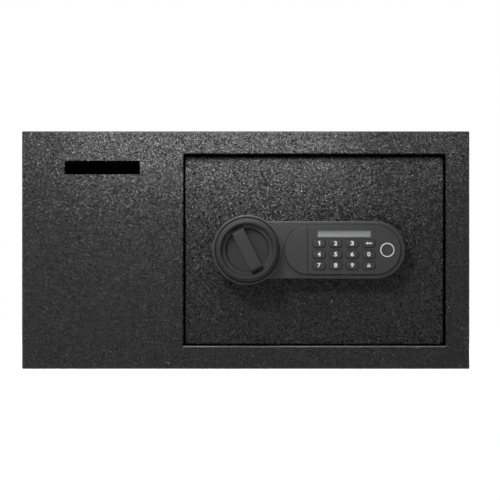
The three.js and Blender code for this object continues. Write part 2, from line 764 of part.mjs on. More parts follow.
function innerCover(parent) {
  const left = coverLeftInset - doorWidth / 2;
  const right = doorWidth / 2 - coverRightInset;
  const [width, height] = [right - left, doorHeight - 2 * coverEndInset];
  const x = (left + right) / 2;
  const shell = ringedBlock(width, height, coverCornerRadius, x, 0,
    roundedBack(doorThickness, coverBackY, coverEdgeRadius));
  const hollow = prism(roundedRectangle(width - 2 * coverWall, height - 2 * coverWall,
    coverCornerRadius - coverWall, x, 0), doorThickness - cutOverrun, coverInnerY, bendSteps);
  const batteryX = lockX + batteryPlace;
  const lidOpening = block(batteryX - trayWidth / 2, batteryX + trayWidth / 2,
    coverInnerY - cutOverrun, coverBackY + cutOverrun, -trayHeight / 2, trayHeight / 2);
  const pegReach = trayWidth / 2 - lidGap + lidPegLength + seatGap;
  const pegHole = rodX(lidPegRadius + seatGap, batteryX - pegReach, batteryX + pegReach,
    coverBackY - coverWall / 2, lidGap + coverWall / 2 - trayHeight / 2, smallRoundSteps);
  const resetHole = rodY(resetRadius + seatGap, coverInnerY - cutOverrun, coverBackY + cutOverrun,
    lockX + resetPlaceX, resetPlaceZ, smallRoundSteps);
  let cover = shell.subtract(hollow).subtract(lidOpening).subtract(pegHole).subtract(resetHole);
  for (const z of [-boltSpacing / 2, boltSpacing / 2]) {
    cover = cover.subtract(rodX(boltRadius + jambHoleClearance,
      left - cutOverrun, left + coverWall + cutOverrun, mechanismY, z, roundSteps));
  }
  piece(parent, 'inner_cover', cover, blackPlastic);
}

// Lock pieces, with their origin on the knob's axis at the door's outer face

function lockHousing(lock) {
  const boss = turned([
    [0, bossFrontY],
    ...quarterRound(housingEdgeRadius).map(([depth, inset]) => [bossRadius - inset, bossFrontY + depth]),
    [bossRadius, 0],
    [0, 0],
  ], 0, 0, largeRoundSteps);
  const rim = quarterRound(bossInnerEdgeRadius);
  const recess = turned([
    [0, bossFrontY - cutOverrun],
    [knobRecessRadius + bossInnerEdgeRadius, bossFrontY - cutOverrun],
    ...rim.map(([depth, inset]) => [knobRecessRadius + inset, bossFrontY + depth]),
    [knobRecessRadius, recessFloorY],
    [0, recessFloorY],
  ], 0, 0, largeRoundSteps);
  const pocketRadius = fasciaRadius + seatGap;
  const pocket = prism(stadium(fasciaStart, arcCentreX, pocketRadius, 0),
    housingFrontY - cutOverrun, pocketFloorY, halfRoundSteps);
  const pocketFloor = prism(stadium(fasciaStart, arcCentreX, pocketRadius + housingWall, 0),
    housingFrontY, pocketBackY, halfRoundSteps);
  const recessFloor = rodY(bossRadius, bossFrontY, recessBackY, 0, 0, roundSteps);
  let hollow = prism(housingOutline(housingWall), housingHollowY, cutOverrun, halfRoundSteps)
    .subtract(pocketFloor).subtract(recessFloor);
  const posts = [
    [housingPostInset, housingPostRise],
    [arcCentreX + housingEndPostReach, housingEndPostRise],
  ];
  for (const [x, z] of posts) {
    for (const way of [-1, 1]) {
      hollow = hollow.subtract(rodY(housingPostRadius, housingHollowY, 0, x, way * z, smallRoundSteps));
    }
  }
  const window = block(windowLeft, windowRight, pocketFloorY - cutOverrun, pocketBackY + cutOverrun,
    windowBottom, windowTop);
  const spindleHole = rodY(spindleRadius + runningGap, recessFloorY - cutOverrun, recessBackY + cutOverrun,
    0, 0, smallRoundSteps);
  const overrideHole = rodY(overrideBodyRadius + seatGap, pocketFloorY - cutOverrun, pocketBackY + cutOverrun,
    overrideInset, 0, roundSteps);
  const housing = mouldedPrism(housingOutline(0), housingFrontY, 0, housingEdgeRadius, halfRoundSteps)
    .add(boss).subtract(hollow).subtract(recess).subtract(pocket)
    .subtract(window).subtract(spindleHole).subtract(overrideHole);
  piece(lock, 'lock_housing', housing, matteBlack);
}

// The raised fascia is one stadium, hollow from behind and cut in two at the seam
function fasciaPart(x1, x2) {
  const tall = fasciaRadius + cutOverrun;
  const whole = mouldedPrism(stadium(fasciaStart, arcCentreX, fasciaRadius, 0),
    fasciaFrontY, fasciaSeatY, fasciaEdgeRadius, halfRoundSteps);
  const hollow = prism(stadium(fasciaStart, arcCentreX, fasciaRadius - fasciaWall, 0),
    fasciaBackY, fasciaSeatY + cutOverrun, halfRoundSteps)
    .intersect(block(x1 + fasciaWall, x2 - fasciaWall, fasciaBackY, fasciaSeatY + cutOverrun, -tall, tall));
  return whole.intersect(block(x1, x2, fasciaFrontY - cutOverrun, fasciaSeatY + cutOverrun, -tall, tall))
    .subtract(hollow);
}

function keyPlaces() {
  return keyNames.flatMap((names, row) => names.map((name, column) => (
    { name, x: keyFirstX + column * keyPitchX, z: keyFirstZ + row * keyPitchZ }
  )));
}

function pill(x, z, grow) {
  const radius = keyHeight / 2 + grow;
  const reach = (keyWidth - keyHeight) / 2;
  return stadium(x - reach, x + reach, radius, z);
}

function keyholeCover(lock) {
  const left = fasciaStart - fasciaRadius;
  const cover = fasciaPart(left - cutOverrun, seamPlace - seamGap / 2);
  piece(lock, 'keyhole_cover', cover, matteBlack);
}

function keypadFascia(lock) {
  const right = arcCentreX + fasciaRadius + fasciaWall + cutOverrun;
  let fascia = fasciaPart(seamPlace + seamGap / 2, right);
  for (const { x, z } of keyPlaces()) {
    fascia = fascia.subtract(prism(pill(x, z, seatGap), fasciaFrontY - cutOverrun, fasciaBackY + cutOverrun,
      pillSteps));
  }
  const [halfWidth, halfHeight] = [displayWidth / 2, displayHeight / 2];
  const displayHole = block(displayX - halfWidth, displayX + halfWidth, fasciaFrontY - cutOverrun,
    fasciaBackY + cutOverrun, displayZ - halfHeight, displayZ + halfHeight);
  const rebate = displayRebate + seatGap;
  const displaySeat = block(displayX - halfWidth - rebate, displayX + halfWidth + rebate,
    fasciaFrontY + displayRecess - seatGap, fasciaBackY + cutOverrun,
    displayZ - halfHeight - rebate, displayZ + halfHeight + rebate);
  const ringHole = rodY(fingerRingRadius + seatGap, fasciaFrontY - cutOverrun, fasciaBackY + cutOverrun,
    fingerprintX, 0, roundSteps);
  fascia = fascia.subtract(displayHole).subtract(displaySeat).subtract(ringHole);
  piece(lock, 'keypad_fascia', fascia, matteBlack);
}

function keys(lock) {
  const capBackY = fasciaBackY + seatGap;
  const flangeBackY = capBackY + keyFlangeThickness;
  const cap = mouldedPrism(pill(0, 0, 0), fasciaFrontY - keyProud, flangeBackY, keyEdgeRadius, pillSteps);
  const flange = prism(pill(0, 0, keyFlangeMargin), capBackY, flangeBackY, pillSteps);
  const stem = rodY(keyStemRadius, capBackY, flangeBackY + keyStemLength, 0, 0, tinyRoundSteps);
  const shape = cap.add(flange).add(stem);
  for (const { name, x, z } of keyPlaces()) {
    piece(lock, name, shape, matteBlack).position.set(x, 0, z);
  }
}

function display(lock) {
  const lensFrontY = fasciaFrontY + displayRecess;
  const lensBackY = lensFrontY + displayLensThickness;
  const halfWidth = displayWidth / 2 + displayRebate;
  const halfHeight = displayHeight / 2 + displayRebate;
  const across = (y1, y2) => block(displayX - halfWidth, displayX + halfWidth, y1, y2,
    displayZ - halfHeight, displayZ + halfHeight);
  piece(lock, 'display_lens', across(lensFrontY, lensBackY), displayGlass);
  piece(lock, 'display_module', across(lensBackY + seatGap, pocketBackY), blackPlastic);
}

function fingerprintReader(lock) {
  const ringFrontY = fasciaFrontY - fingerRingProud;
  const flangeFrontY = fasciaSeatY - fingerRingFlangeThickness;
  const ring = turned([
    [fingerRingBore, ringFrontY],
    [fingerRingRadius, ringFrontY],
    [fingerRingRadius, flangeFrontY],
    [fingerRingRadius + fingerRingFlange, flangeFrontY],
    [fingerRingRadius + fingerRingFlange, fasciaSeatY],
    [fingerRingBore, fasciaSeatY],
    [fingerRingBore, ringFrontY],
  ], fingerprintX, 0, roundSteps);
  piece(lock, 'fingerprint_ring', ring, whitePlastic);
  const sensor = rodY(fingerRingBore - seatGap, fasciaFrontY + fingerSensorRecess, fasciaSeatY,
    fingerprintX, 0, roundSteps);
  piece(lock, 'fingerprint_sensor', sensor, darkGlass);
}

function electronics(lock) {
  const matFrontY = pocketBackY - keyMatThickness;
  const mat = block(windowLeft + keyMatMargin, windowRight - keyMatMargin, matFrontY, pocketBackY,
    windowBottom + keyMatMargin, keyMatTop);
  piece(lock, 'key_mat', mat, blackRubber);

  const left = seamPlace + seamGap;
  const right = arcCentreX + boardPastArc;
  const height = 2 * (housingRadius - housingWall - boardEndGap);
  const board = prism(roundedRectangle(right - left, height, boardCornerRadius, (left + right) / 2, 0),
    boardFrontY, boardFrontY + boardThickness, bendSteps);
  piece(lock, 'circuit_board', board, greenBoard);
}

function emergencyLock(lock) {
  const frontY = fasciaSeatY - overrideFlangeThickness;
  const bodyBackY = doorThickness + overrideBehindDoor;
  const bore = overridePlugRadius + seatGap;
  const flangeRadius = overrideBodyRadius + overrideFlange;
  const body = turned([
    [bore, frontY],
    [flangeRadius, frontY],
    [flangeRadius, fasciaSeatY],
    [overrideBodyRadius, fasciaSeatY],
    [overrideBodyRadius, bodyBackY],
    [bore, bodyBackY],
    [bore, frontY],
  ], overrideInset, 0, roundSteps);
  piece(lock, 'emergency_lock_body', body, brightSteel);

  const nutFrontY = doorThickness + seatGap;
  const nutBackY = nutFrontY + overrideNutThickness;
  const nut = rodY(overrideNutWidth / Math.sqrt(3), nutFrontY, nutBackY, overrideInset, 0, nutSides)
    .subtract(rodY(overrideBodyRadius + seatGap, nutFrontY - cutOverrun, nutBackY + cutOverrun,
      overrideInset, 0, roundSteps));
  piece(lock, 'emergency_lock_nut', nut, brightSteel);

  const camFrontY = bodyBackY + seatGap;
  const arm = uprightStadium(0, -camLength + camWidth / 2, 0, camWidth / 2);
  const plug = rodY(overridePlugRadius, frontY, camFrontY + camThickness, 0, 0, smallRoundSteps)
    .subtract(block(-keywayWidth / 2, keywayWidth / 2, frontY - cutOverrun, frontY + keywayDepth,
      -keywayHeight / 2, keywayHeight / 2))
    .add(prism(arm, camFrontY, camFrontY + camThickness, pillSteps));
  piece(lock, 'emergency_lock_plug', plug, brass).position.x = overrideInset;
}

// The knob's side widens from its lip to a skirt that nearly fills the recess of the boss
function knobAndSpindle(lock) {
  const turnedGroup = group(lock, 0, 0, 0);
  turnedGroup.rotation.y = -THREE.MathUtils.degToRad(knobTiltDegrees);
  const baseY = recessFloorY - runningGap;
  const topY = baseY - knobHeight;
  const ledgeY = topY + knobLedgeDrop;
  const floorY = topY + knobFloorDrop;
  const gripTopY = topY + gripDrop;
  const skirtRadius = knobRecessRadius - runningGap;
  const dish = turned([
    [0, floorY],
    [knobFloorRadius, floorY],
    [knobLedgeInnerRadius, ledgeY],
    [knobLedgeOuterRadius, ledgeY],
    [knobRadius - knobLipWidth, topY],
    ...quarterRound(knobEdgeRadius).map(([depth, inset]) => [knobRadius - inset, topY + depth]),
    [skirtRadius, bossFrontY],
    [skirtRadius, baseY],
    [skirtRadius - knobSideWall, baseY],
    [knobRadius - knobSideWall, ledgeY + knobFloorThickness],
    [knobFloorRadius + knobFloorThickness, ledgeY + knobFloorThickness],
    [knobFloorRadius + knobFloorThickness, floorY + knobFloorThickness],
    [knobHubRadius, floorY + knobFloorThickness],
    [knobHubRadius, baseY],
    [0, baseY],
  ], 0, 0, largeRoundSteps);

  const footY = floorY + knobFloorThickness / 2;
  const crown = knobLedgeOuterRadius - gripEndSlope;
  const side = sidePrism([
    [footY, -knobLedgeOuterRadius],
    [ledgeY, -knobLedgeOuterRadius],
    [gripTopY, -crown],
    [gripTopY, crown],
    [ledgeY, knobLedgeOuterRadius],
    [footY, knobLedgeOuterRadius],
  ], -gripWidth / 2, gripWidth / 2);
  const section = new THREE.Shape([
    new THREE.Vector2(-gripWidth / 2, footY),
    new THREE.Vector2(gripWidth / 2, footY),
    new THREE.Vector2(gripWidth / 2, gripTopY + gripEdge),
    new THREE.Vector2(gripWidth / 2 - gripEdge, gripTopY),
    new THREE.Vector2(gripEdge - gripWidth / 2, gripTopY),
    new THREE.Vector2(-gripWidth / 2, gripTopY + gripEdge),
  ]);
  const sectionGeometry = new THREE.ExtrudeGeometry(section, { depth: 2 * knobRadius, bevelEnabled: false });
  sectionGeometry.translate(0, 0, -knobRadius);
  const grip = side.intersect(solid(sectionGeometry))
    .intersect(rodY(knobLedgeOuterRadius, topY, footY, 0, 0, largeRoundSteps));

  const spindleFrontY = baseY - spindleInKnob;
  const flatted = (grow, y1, y2) => {
    const radius = spindleRadius + grow;
    return rodY(radius, y1, y2, 0, 0, smallRoundSteps).intersect(
      block(-radius, radius, y1, y2, -radius, radius - spindleFlatDepth));
  };
  const bore = flatted(seatGap, spindleFrontY - seatGap, baseY + cutOverrun);
  piece(turnedGroup, 'knob', dish.add(grip).subtract(bore), matteBlack);

  const spindle = flatted(0, spindleFrontY, recessFloorY)
    .add(rodY(spindleRadius, recessFloorY - seatGap, crankBackY, 0, 0, smallRoundSteps));
  piece(turnedGroup, 'spindle', spindle, brightSteel);
}

function spindleBush(lock) {
  const bore = spindleRadius + runningGap;
  const radius = bore + spindleBushWall;
  const flangeY1 = doorThickness + seatGap;
  const flangeY2 = flangeY1 + spindleBushFlangeThickness;
  const bush = turned([
    [bore, 0],
    [radius, 0],
    [radius, flangeY1],
    [radius + spindleBushFlange, flangeY1],
    [radius + spindleBushFlange, flangeY2],
    [bore, flangeY2],
    [bore, 0],
  ], 0, 0, roundSteps);
  piece(lock, 'spindle_bush', bush, whitePlastic);
}

// The crank's arm stands along +Z in its own frame and is turned to where it rests
function crank(lock) {
  const arm = group(lock, 0, 0, 0);
  arm.rotation.y = crankHalfSwing;
  const tangent = Math.acos((crankHubRadius - crankEndRadius) / crankRadius);
  const outline = new THREE.Shape();
  outline.absarc(0, 0, crankHubRadius, Math.PI / 2 + tangent, 5 * Math.PI / 2 - tangent);
  outline.absarc(0, crankRadius, crankEndRadius, Math.PI / 2 - tangent, Math.PI / 2 + tangent);
  const frontY = crankBackY - crankThickness;
  const hubFrontY = doorThickness + seatGap + spindleBushFlangeThickness + runningGap;
  const shape = prism(outline, frontY, crankBackY, halfRoundSteps)
    .add(rodY(spindleRadius + spindleBushWall, hubFrontY, crankBackY, 0, 0, roundSteps))
    .add(rodY(crankPinRadius, frontY, carriageBackY + crankPinPast, 0, crankRadius, smallRoundSteps))
    .subtract(rodY(spindleRadius + seatGap, hubFrontY - cutOverrun, crankBackY + cutOverrun,
      0, 0, smallRoundSteps));
  piece(arm, 'crank', shape, plainSteel);
}

function boltCarriage(lock) {
  const halfHeight = (boltSpacing + carriageEarHeight) / 2;
  const earTipX = boltRootX - carriageEarLength;
  const plate = (x1, x2, z1, z2) => block(x1, x2, carriageFrontY, carriageBackY, z1, z2);
  const cut = shape => prism(shape, carriageFrontY - cutOverrun, carriageBackY + cutOverrun, pillSteps);
  let carriage = plate(carriageLeft, carriageRight, -halfHeight, halfHeight)
    .add(plate(carriageLeft, carriageTailX, -carriageTailTop, carriageTailTop))
    .add(plate(earTipX, carriageRight, halfHeight - carriageEarHeight, halfHeight))
    .add(plate(earTipX, carriageRight, -halfHeight, carriageEarHeight - halfHeight))
    .subtract(cut(uprightStadium(crankSlotX, crankRadius * Math.cos(crankHalfSwing), crankRadius,
      crankSlotHalf)));
  for (const z of [-studZ, studZ]) {
    carriage = carriage.subtract(cut(stadium(-studInset, boltTravel - studInset,
      studNeckRadius + seatGap, z)));
  }
  piece(lock, 'bolt_carriage', carriage, plainSteel);

  const bolt = new THREE.LatheGeometry([
    new THREE.Vector2(0, boltTipX),
    new THREE.Vector2(boltRadius - boltNoseChamfer, boltTipX),
    new THREE.Vector2(boltRadius, boltTipX + boltNoseChamfer),
    new THREE.Vector2(boltRadius, boltRootX),
    new THREE.Vector2(0, boltRootX),
  ], roundSteps);
  bolt.rotateZ(-Math.PI / 2);
  bolt.translate(0, mechanismY, 0);
  const slotted = solid(bolt).subtract(block(earTipX - seatGap, boltRootX + cutOverrun,
    carriageFrontY - seatGap, carriageBackY + seatGap, -boltRadius - cutOverrun, boltRadius + cutOverrun));
  piece(lock, 'bolt_upper', slotted, brightSteel).position.z = boltSpacing / 2;
  piece(lock, 'bolt_lower', slotted, brightSteel).position.z = -boltSpacing / 2;
}

function boltGuide(lock) {
  const halfHeight = boltSpacing / 2 + boltRadius + guideEnd;
  const webBackY = mechanismY + boltRadius + guideSheet;
  let guide = block(guideX, guideX + guideSheet, doorThickness, webBackY, -halfHeight, halfHeight)
    .add(block(guideX, guideX + guideFoot, doorThickness, doorThickness + guideSheet,
      -halfHeight, halfHeight));
  for (const z of [-boltSpacing / 2, boltSpacing / 2]) {
    guide = guide.subtract(rodX(boltHoleRadius, guideX - cutOverrun, guideX + guideSheet + cutOverrun,
      mechanismY, z, roundSteps));
  }
  piece(lock, 'bolt_guide', guide, plainSteel);

  for (const [name, z] of [['guide_stud_upper', studZ], ['guide_stud_lower', -studZ]]) {
    const postBackY = carriageFrontY - seatGap;
    const headFrontY = carriageBackY + seatGap;
    const stud = turned([
      [0, doorThickness],
      [studRadius, doorThickness],
      [studRadius, postBackY],
      [studNeckRadius, postBackY],
      [studNeckRadius, headFrontY],
      [studHeadRadius, headFrontY],
      [studHeadRadius, headFrontY + studHeadThickness],
      [0, headFrontY + studHeadThickness],
    ], -studInset, z, smallRoundSteps);
    piece(lock, name, stud, brightSteel);
  }
}

function solenoid(lock) {
  const topZ = solenoidRise + solenoidHeight;
  const bore = plungerRadius + runningGap;
  const coilRadius = bore + coilWall;
  const frameBackY = mechanismY + coilRadius;
  const [x1, x2] = [plungerX - solenoidWidth / 2, plungerX + solenoidWidth / 2];
  const frame = block(x1, x2, doorThickness, doorThickness + solenoidSheet, solenoidRise, topZ)
    .add(block(x1, x2, doorThickness, frameBackY, solenoidRise, solenoidRise + solenoidSheet))
    .add(block(x1, x2, doorThickness, frameBackY, topZ - solenoidSheet, topZ))
    .subtract(rodZ(bore, solenoidRise - cutOverrun, topZ + cutOverrun, plungerX, mechanismY,
      smallRoundSteps));
  piece(lock, 'solenoid_frame', frame, plainSteel);

  const coil = rodZ(coilRadius, solenoidRise + solenoidSheet + seatGap, topZ - solenoidSheet - seatGap,
    plungerX, mechanismY, roundSteps)
    .subtract(rodZ(bore, solenoidRise, topZ, plungerX, mechanismY, smallRoundSteps));
  piece(lock, 'solenoid_coil', coil, copper);

  const tipZ = carriageTailTop + seatGap;
  const collarZ = tipZ + plungerCollarPlace;
  const plunger = rodZ(plungerRadius, tipZ, tipZ + plungerLength, plungerX, mechanismY, smallRoundSteps)
    .add(rodZ(plungerRadius + plungerCollar, collarZ, collarZ + plungerCollarHeight,
      plungerX, mechanismY, smallRoundSteps));
  piece(lock, 'solenoid_plunger', plunger, brightSteel);
}

function batteryCompartment(lock) {
  const compartment = group(lock, batteryPlace, 0, 0);
  const [halfWidth, halfHeight] = [trayWidth / 2, trayHeight / 2];
  const flangeBackY = coverInnerY - seatGap;
  const tray = block(-halfWidth, halfWidth, trayFloorY - trayWall, trayRimY, -halfHeight, halfHeight)
    .add(block(-halfWidth - trayFlange, halfWidth + trayFlange, flangeBackY - trayWall, flangeBackY,
      -halfHeight - trayFlange, halfHeight + trayFlange)
      .subtract(block(-halfWidth, halfWidth, flangeBackY - trayWall, flangeBackY + cutOverrun,
        -halfHeight, halfHeight)))
    .subtract(block(trayWall - halfWidth, halfWidth - trayWall, trayFloorY, trayRimY + cutOverrun,
      trayWall - halfHeight, halfHeight - trayWall));
  piece(compartment, 'battery_tray', tray, blackPlastic);

  for (let i = 0; i < batteryCount; i += 1) {
    const z = (i - (batteryCount - 1) / 2) * batteryPitch;
    const way = i % 2 ? 1 : -1;
    const capX = way * (batteryLength + batteryNubLength) / 2;
    const shoulderX = capX - way * batteryNubLength;
    const cell = rodX(batteryRadius, shoulderX, -capX,
      batteryY, z, smallRoundSteps)
      .add(rodX(batteryNubRadius, 0, capX, batteryY, z, tinyRoundSteps));
    piece(compartment, `battery_${i + 1}`, cell, batteryWrap);
  }

  const [lidWidth, lidHeight] = [trayWidth - 2 * lidGap, trayHeight - 2 * lidGap];
  const pegReach = lidWidth / 2 + lidPegLength;
  const lid = block(-lidWidth / 2, lidWidth / 2, coverInnerY, coverBackY, -lidHeight / 2, lidHeight / 2)
    .add(rodX(lidPegRadius, -pegReach, pegReach, coverBackY - coverWall / 2,
      (coverWall - lidHeight) / 2, tinyRoundSteps));
  piece(compartment, 'battery_lid', lid, blackPlastic);
}

function resetButton(lock) {
  const flangeBackY = coverInnerY - seatGap;
  const button = rodY(resetRadius, flangeBackY - resetFlangeThickness, coverBackY + resetProud,
    resetPlaceX, resetPlaceZ, smallRoundSteps)
    .add(rodY(resetRadius + resetFlange, flangeBackY - resetFlangeThickness, flangeBackY,
      resetPlaceX, resetPlaceZ, smallRoundSteps));
  piece(lock, 'reset_button', button, redPlastic);
}

// The whole safe

const safe = new THREE.Group();
bodyWrap(safe);
frontPanel(safe);
backPanel(safe);
depositChute(safe);
floorMat(safe);
hingeBush(safe, 'hinge_bush_upper', openingTop, 1);
hingeBush(safe, 'hinge_bush_lower', openingBottom, -1);

const door = group(safe, openingX, doorFaceY, openingZ);
doorPanel(door);
hingePin(door, 'hinge_pin_upper', 1);
hingePin(door, 'hinge_pin_lower', -1);
innerCover(door);

const lock = group(door, lockX, 0, 0);
lockHousing(lock);
keyholeCover(lock);
keypadFascia(lock);
keys(lock);
display(lock);
fingerprintReader(lock);
electronics(lock);
emergencyLock(lock);
knobAndSpindle(lock);
spindleBush(lock);
crank(lock);
boltCarriage(lock);
boltGuide(lock);
solenoid(lock);
batteryCompartment(lock);
resetButton(lock);

export default safe;
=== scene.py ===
# %% [markdown]
# A small steel drop safe, seen straight from the front, with a deposit slot at the left and a hinged door
# with an electronic lock at the right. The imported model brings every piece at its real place. This script
# builds smoother copies of the pieces that show, and sets their materials, the light and the camera.

# %% Load the frame
import json
import math

import bmesh
import bpy
import numpy as np
from mathutils import Matrix, Vector


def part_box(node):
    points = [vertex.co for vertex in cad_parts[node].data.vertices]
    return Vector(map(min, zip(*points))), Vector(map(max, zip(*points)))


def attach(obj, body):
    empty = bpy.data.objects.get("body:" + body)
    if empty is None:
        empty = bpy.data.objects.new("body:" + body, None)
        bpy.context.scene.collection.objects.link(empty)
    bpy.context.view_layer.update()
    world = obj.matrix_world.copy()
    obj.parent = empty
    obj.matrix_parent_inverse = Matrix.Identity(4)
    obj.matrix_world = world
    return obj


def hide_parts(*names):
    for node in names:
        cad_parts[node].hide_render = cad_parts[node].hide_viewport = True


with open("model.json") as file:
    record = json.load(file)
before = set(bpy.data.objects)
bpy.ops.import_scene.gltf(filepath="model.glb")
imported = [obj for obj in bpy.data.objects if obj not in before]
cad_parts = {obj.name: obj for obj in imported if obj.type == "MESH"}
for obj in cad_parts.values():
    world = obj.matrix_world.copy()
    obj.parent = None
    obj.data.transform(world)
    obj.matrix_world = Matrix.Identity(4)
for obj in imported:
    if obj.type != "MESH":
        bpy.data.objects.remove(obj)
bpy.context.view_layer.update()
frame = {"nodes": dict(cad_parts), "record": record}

MM = 0.001
NODES = frame["nodes"]


def node_box(name):
    """Lowest and highest corner of a CAD node, in millimetres."""
    low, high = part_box(name)
    return np.array(low) / MM, np.array(high) / MM


def node_middle(name):
    """Middle of a CAD node's box, in millimetres."""
    low, high = node_box(name)
    return (low + high) / 2


# %% [markdown]
# The photograph is taken from far away with a long lens, and no side of the body shows. A camera 8 m away
# gives that look. Its lens length follows from the width of the object plane that fills the picture.

# %% The camera
VIEW_WIDTH = 502.68
CAMERA_DISTANCE = 8000.0
CAMERA_X, CAMERA_Z = 4.32, 119.6
SENSOR_WIDTH = 36.0

body_low, body_high = node_box("front_panel")
FRONT_Y = body_low[1]
camera_data = bpy.data.cameras.new("camera")
camera_data.sensor_width = SENSOR_WIDTH
camera_data.lens = SENSOR_WIDTH * CAMERA_DISTANCE / VIEW_WIDTH
camera_data.clip_end = 100.0
camera = bpy.data.objects.new("camera", camera_data)
camera.location = np.array([CAMERA_X, FRONT_Y - CAMERA_DISTANCE, CAMERA_Z]) * MM
camera.rotation_euler = (math.pi / 2, 0, 0)
bpy.context.scene.collection.objects.link(camera)
bpy.context.scene.camera = camera
bpy.context.scene.view_settings.view_transform = "Standard"
print("lens", round(camera_data.lens, 1), "mm")


# %% [markdown]
# Most pieces are plates and mouldings with round edges. Each is an outline, seen from the front, carried
# back through a list of depths. An outline is kept as points and outward directions, so that moving it in
# is one line of arithmetic, which gives exact round edges.

# %% Outlines
def arc(x, z, radius, start, end, steps):
    """Points of an arc between two angles in degrees, and the directions away from its centre: centre
    plus radius times (cosine, sine) of the angle."""
    turn = np.radians(np.linspace(start, end, steps + 1))
    away = np.column_stack([np.cos(turn), np.sin(turn)])
    return np.array([x, z]) + radius * away, away


def joined(*arcs):
    """One outline from several (points, directions) arcs, in order."""
    return np.vstack([a[0] for a in arcs]), np.vstack([a[1] for a in arcs])


def front_box(low, high, grow=0.0):
    """A box seen from the front, as x1, x2, z1, z2, grown on each side."""
    return low[0] - grow, high[0] + grow, low[2] - grow, high[2] + grow


def outline_in(box, grow, radius, steps=8):
    """A rectangle round x1, x2, z1, z2, grown on each side, with quarter circles for corners."""
    x1, x2, z1, z2 = box
    left, right = x1 - grow + radius, x2 + grow - radius
    low, high = z1 - grow + radius, z2 + grow - radius
    return joined(*[arc(x, z, radius, start, start + 90, steps) for x, z, start in
                    ((right, high, 0), (left, high, 90), (left, low, 180), (right, low, 270))])


def rectangle(x1, x2, z1, z2):
    """A rectangle with square corners; its directions point along the diagonals."""
    return (np.array([[x2, z2], [x1, z2], [x1, z1], [x2, z1]], float),
            np.array([[1, 1], [-1, 1], [-1, -1], [1, -1]], float))


def stadium(x1, x2, z, radius, steps=24):
    """Two half circles about (x1, z) and (x2, z), joined by straight sides."""
    return joined(arc(x2, z, radius, -90, 90, steps), arc(x1, z, radius, 90, 270, steps))


# %% [markdown]
# A quarter circle rounds an edge. A row is (depth, inset): how far back a ring of the surface lies, and
# how far in from the outline. The rings are joined by four-sided faces in one array step.

# %% Surfaces
# How far a cutter runs past what it cuts
PAST = 5


def quarter(radius, steps=6):
    """(depth, inset) from the face to the side: radius times (1 - cosine, 1 - sine) of 0 to 90 degrees."""
    turn = np.linspace(0, np.pi / 2, steps + 1)
    return radius * np.column_stack([1 - np.cos(turn), 1 - np.sin(turn)])


def edged(front, back, front_radius=0.0, back_radius=0.0, steps=6):
    """Rows of a plate from front to back with a quarter circle at each edge that has a radius."""
    rows, last = [[front, 0.0]], [[back, 0.0]]
    if front_radius:
        rows = quarter(front_radius, steps) + [front, 0]
    if back_radius:
        last = (quarter(back_radius, steps) * [-1, 1] + [back, 0])[::-1]
    return np.vstack([rows, last])


def flared(front, back, radius, steps=6):
    """Rows of a cutter whose front widens by a quarter circle, so that the hole's edge is round."""
    mouth = quarter(radius, steps) * [1, -1] + [front, 0]
    return np.vstack([[[front - 1, -radius]], mouth, [[back, 0.0]]])


def stacked(flat, depth):
    """Grid of points: ring i has the (x, z) points flat[i], set at depth i."""
    depth = np.broadcast_to(depth[:, None], flat.shape[:2])
    return np.stack([flat[..., 0], depth, flat[..., 1]], axis=-1)


def carried(outline, rows):
    """Grid of points: ring i is the outline moved in by inset i and set at depth i."""
    points, away = outline
    rows = np.asarray(rows, float)
    return stacked(points[None] - rows[:, 1, None, None] * away[None], rows[:, 0])


def turned(profile, x=0.0, z=0.0, steps=96):
    """Grid of a (radius, depth) profile turned about an axis along Y: x + r cos, depth, z + r sin."""
    profile = np.asarray(profile, float)
    turn = np.linspace(0, 2 * np.pi, steps, endpoint=False)
    circle = np.column_stack([np.cos(turn), np.sin(turn)])
    return stacked([x, z] + profile[:, :1, None] * circle, profile[:, 1])


def cylinder(radius, front, back, x=0.0, z=0.0, steps=48):
    """Grid of a plain round bar along Y between two depths."""
    return turned([[radius, front], [radius, back]], x, z, steps)


def round_front(radius, front, edge, steps):
    """Profile points of a turned piece's front edge, rounded by a quarter circle."""
    return [(radius - inset, front + depth) for depth, inset in quarter(edge, steps)]


def round_back(radius, back, edge, steps):
    """Profile points of a turned piece's back edge, rounded by a quarter circle."""
    return [(radius - inset, back - depth) for depth, inset in quarter(edge, steps)[::-1]]


def dome(radius, middle, rise, start, count):
    """Profile points from near the axis outward, whose depth changes with the square of the radius."""
    return [(radius * t, middle + rise * t ** 2) for t in np.linspace(start, 1, count)]


def along_x(grid, x, y, z):
    """The grid turned so that its Y axis lies along +X, and then moved."""
    return np.stack([grid[..., 1] + x, -grid[..., 0] + y, grid[..., 2] + z], axis=-1)


def along_z(grid, x, y, z):
    """The grid turned so that its Y axis lies along +Z, and then moved."""
    return np.stack([grid[..., 0] + x, -grid[..., 2] + y, grid[..., 1] + z], axis=-1)


def skin(name, grid, loop=False):
    """A closed mesh from a grid of rings in millimetres, with a face on each end ring, or with the last
    ring joined to the first one as a loop."""
    rings, count = grid.shape[:2]
    index = np.arange(rings * count).reshape(rings, count)
    if loop:
        index = np.vstack([index, index[:1]])
    after = np.roll(index, -1, axis=1)
    quads = np.stack([index[:-1], index[1:], after[1:], after[:-1]], axis=-1).reshape(-1, 4).tolist()
    ends = [] if loop else [index[0].tolist(), index[-1, ::-1].tolist()]
    mesh = bpy.data.meshes.new(name)
    mesh.from_pydata((grid.reshape(-1, 3) * MM).tolist(), [], quads + ends)
    piece = bpy.data.objects.new(name, mesh)
    bpy.context.scene.collection.objects.link(piece)
    return piece


def plate(name, outline, front, back, front_radius=0.0, back_radius=0.0, steps=6):
    """A plate of an outline between two depths, with rounded edges."""
    return skin(name, carried(outline, edged(front, back, front_radius, back_radius, steps)))


# %% [markdown]
# Holes and pockets are cut with Boolean modifiers, whose cutters are surfaces of the same kind. They are
# applied at once, so each finished piece is one plain mesh.

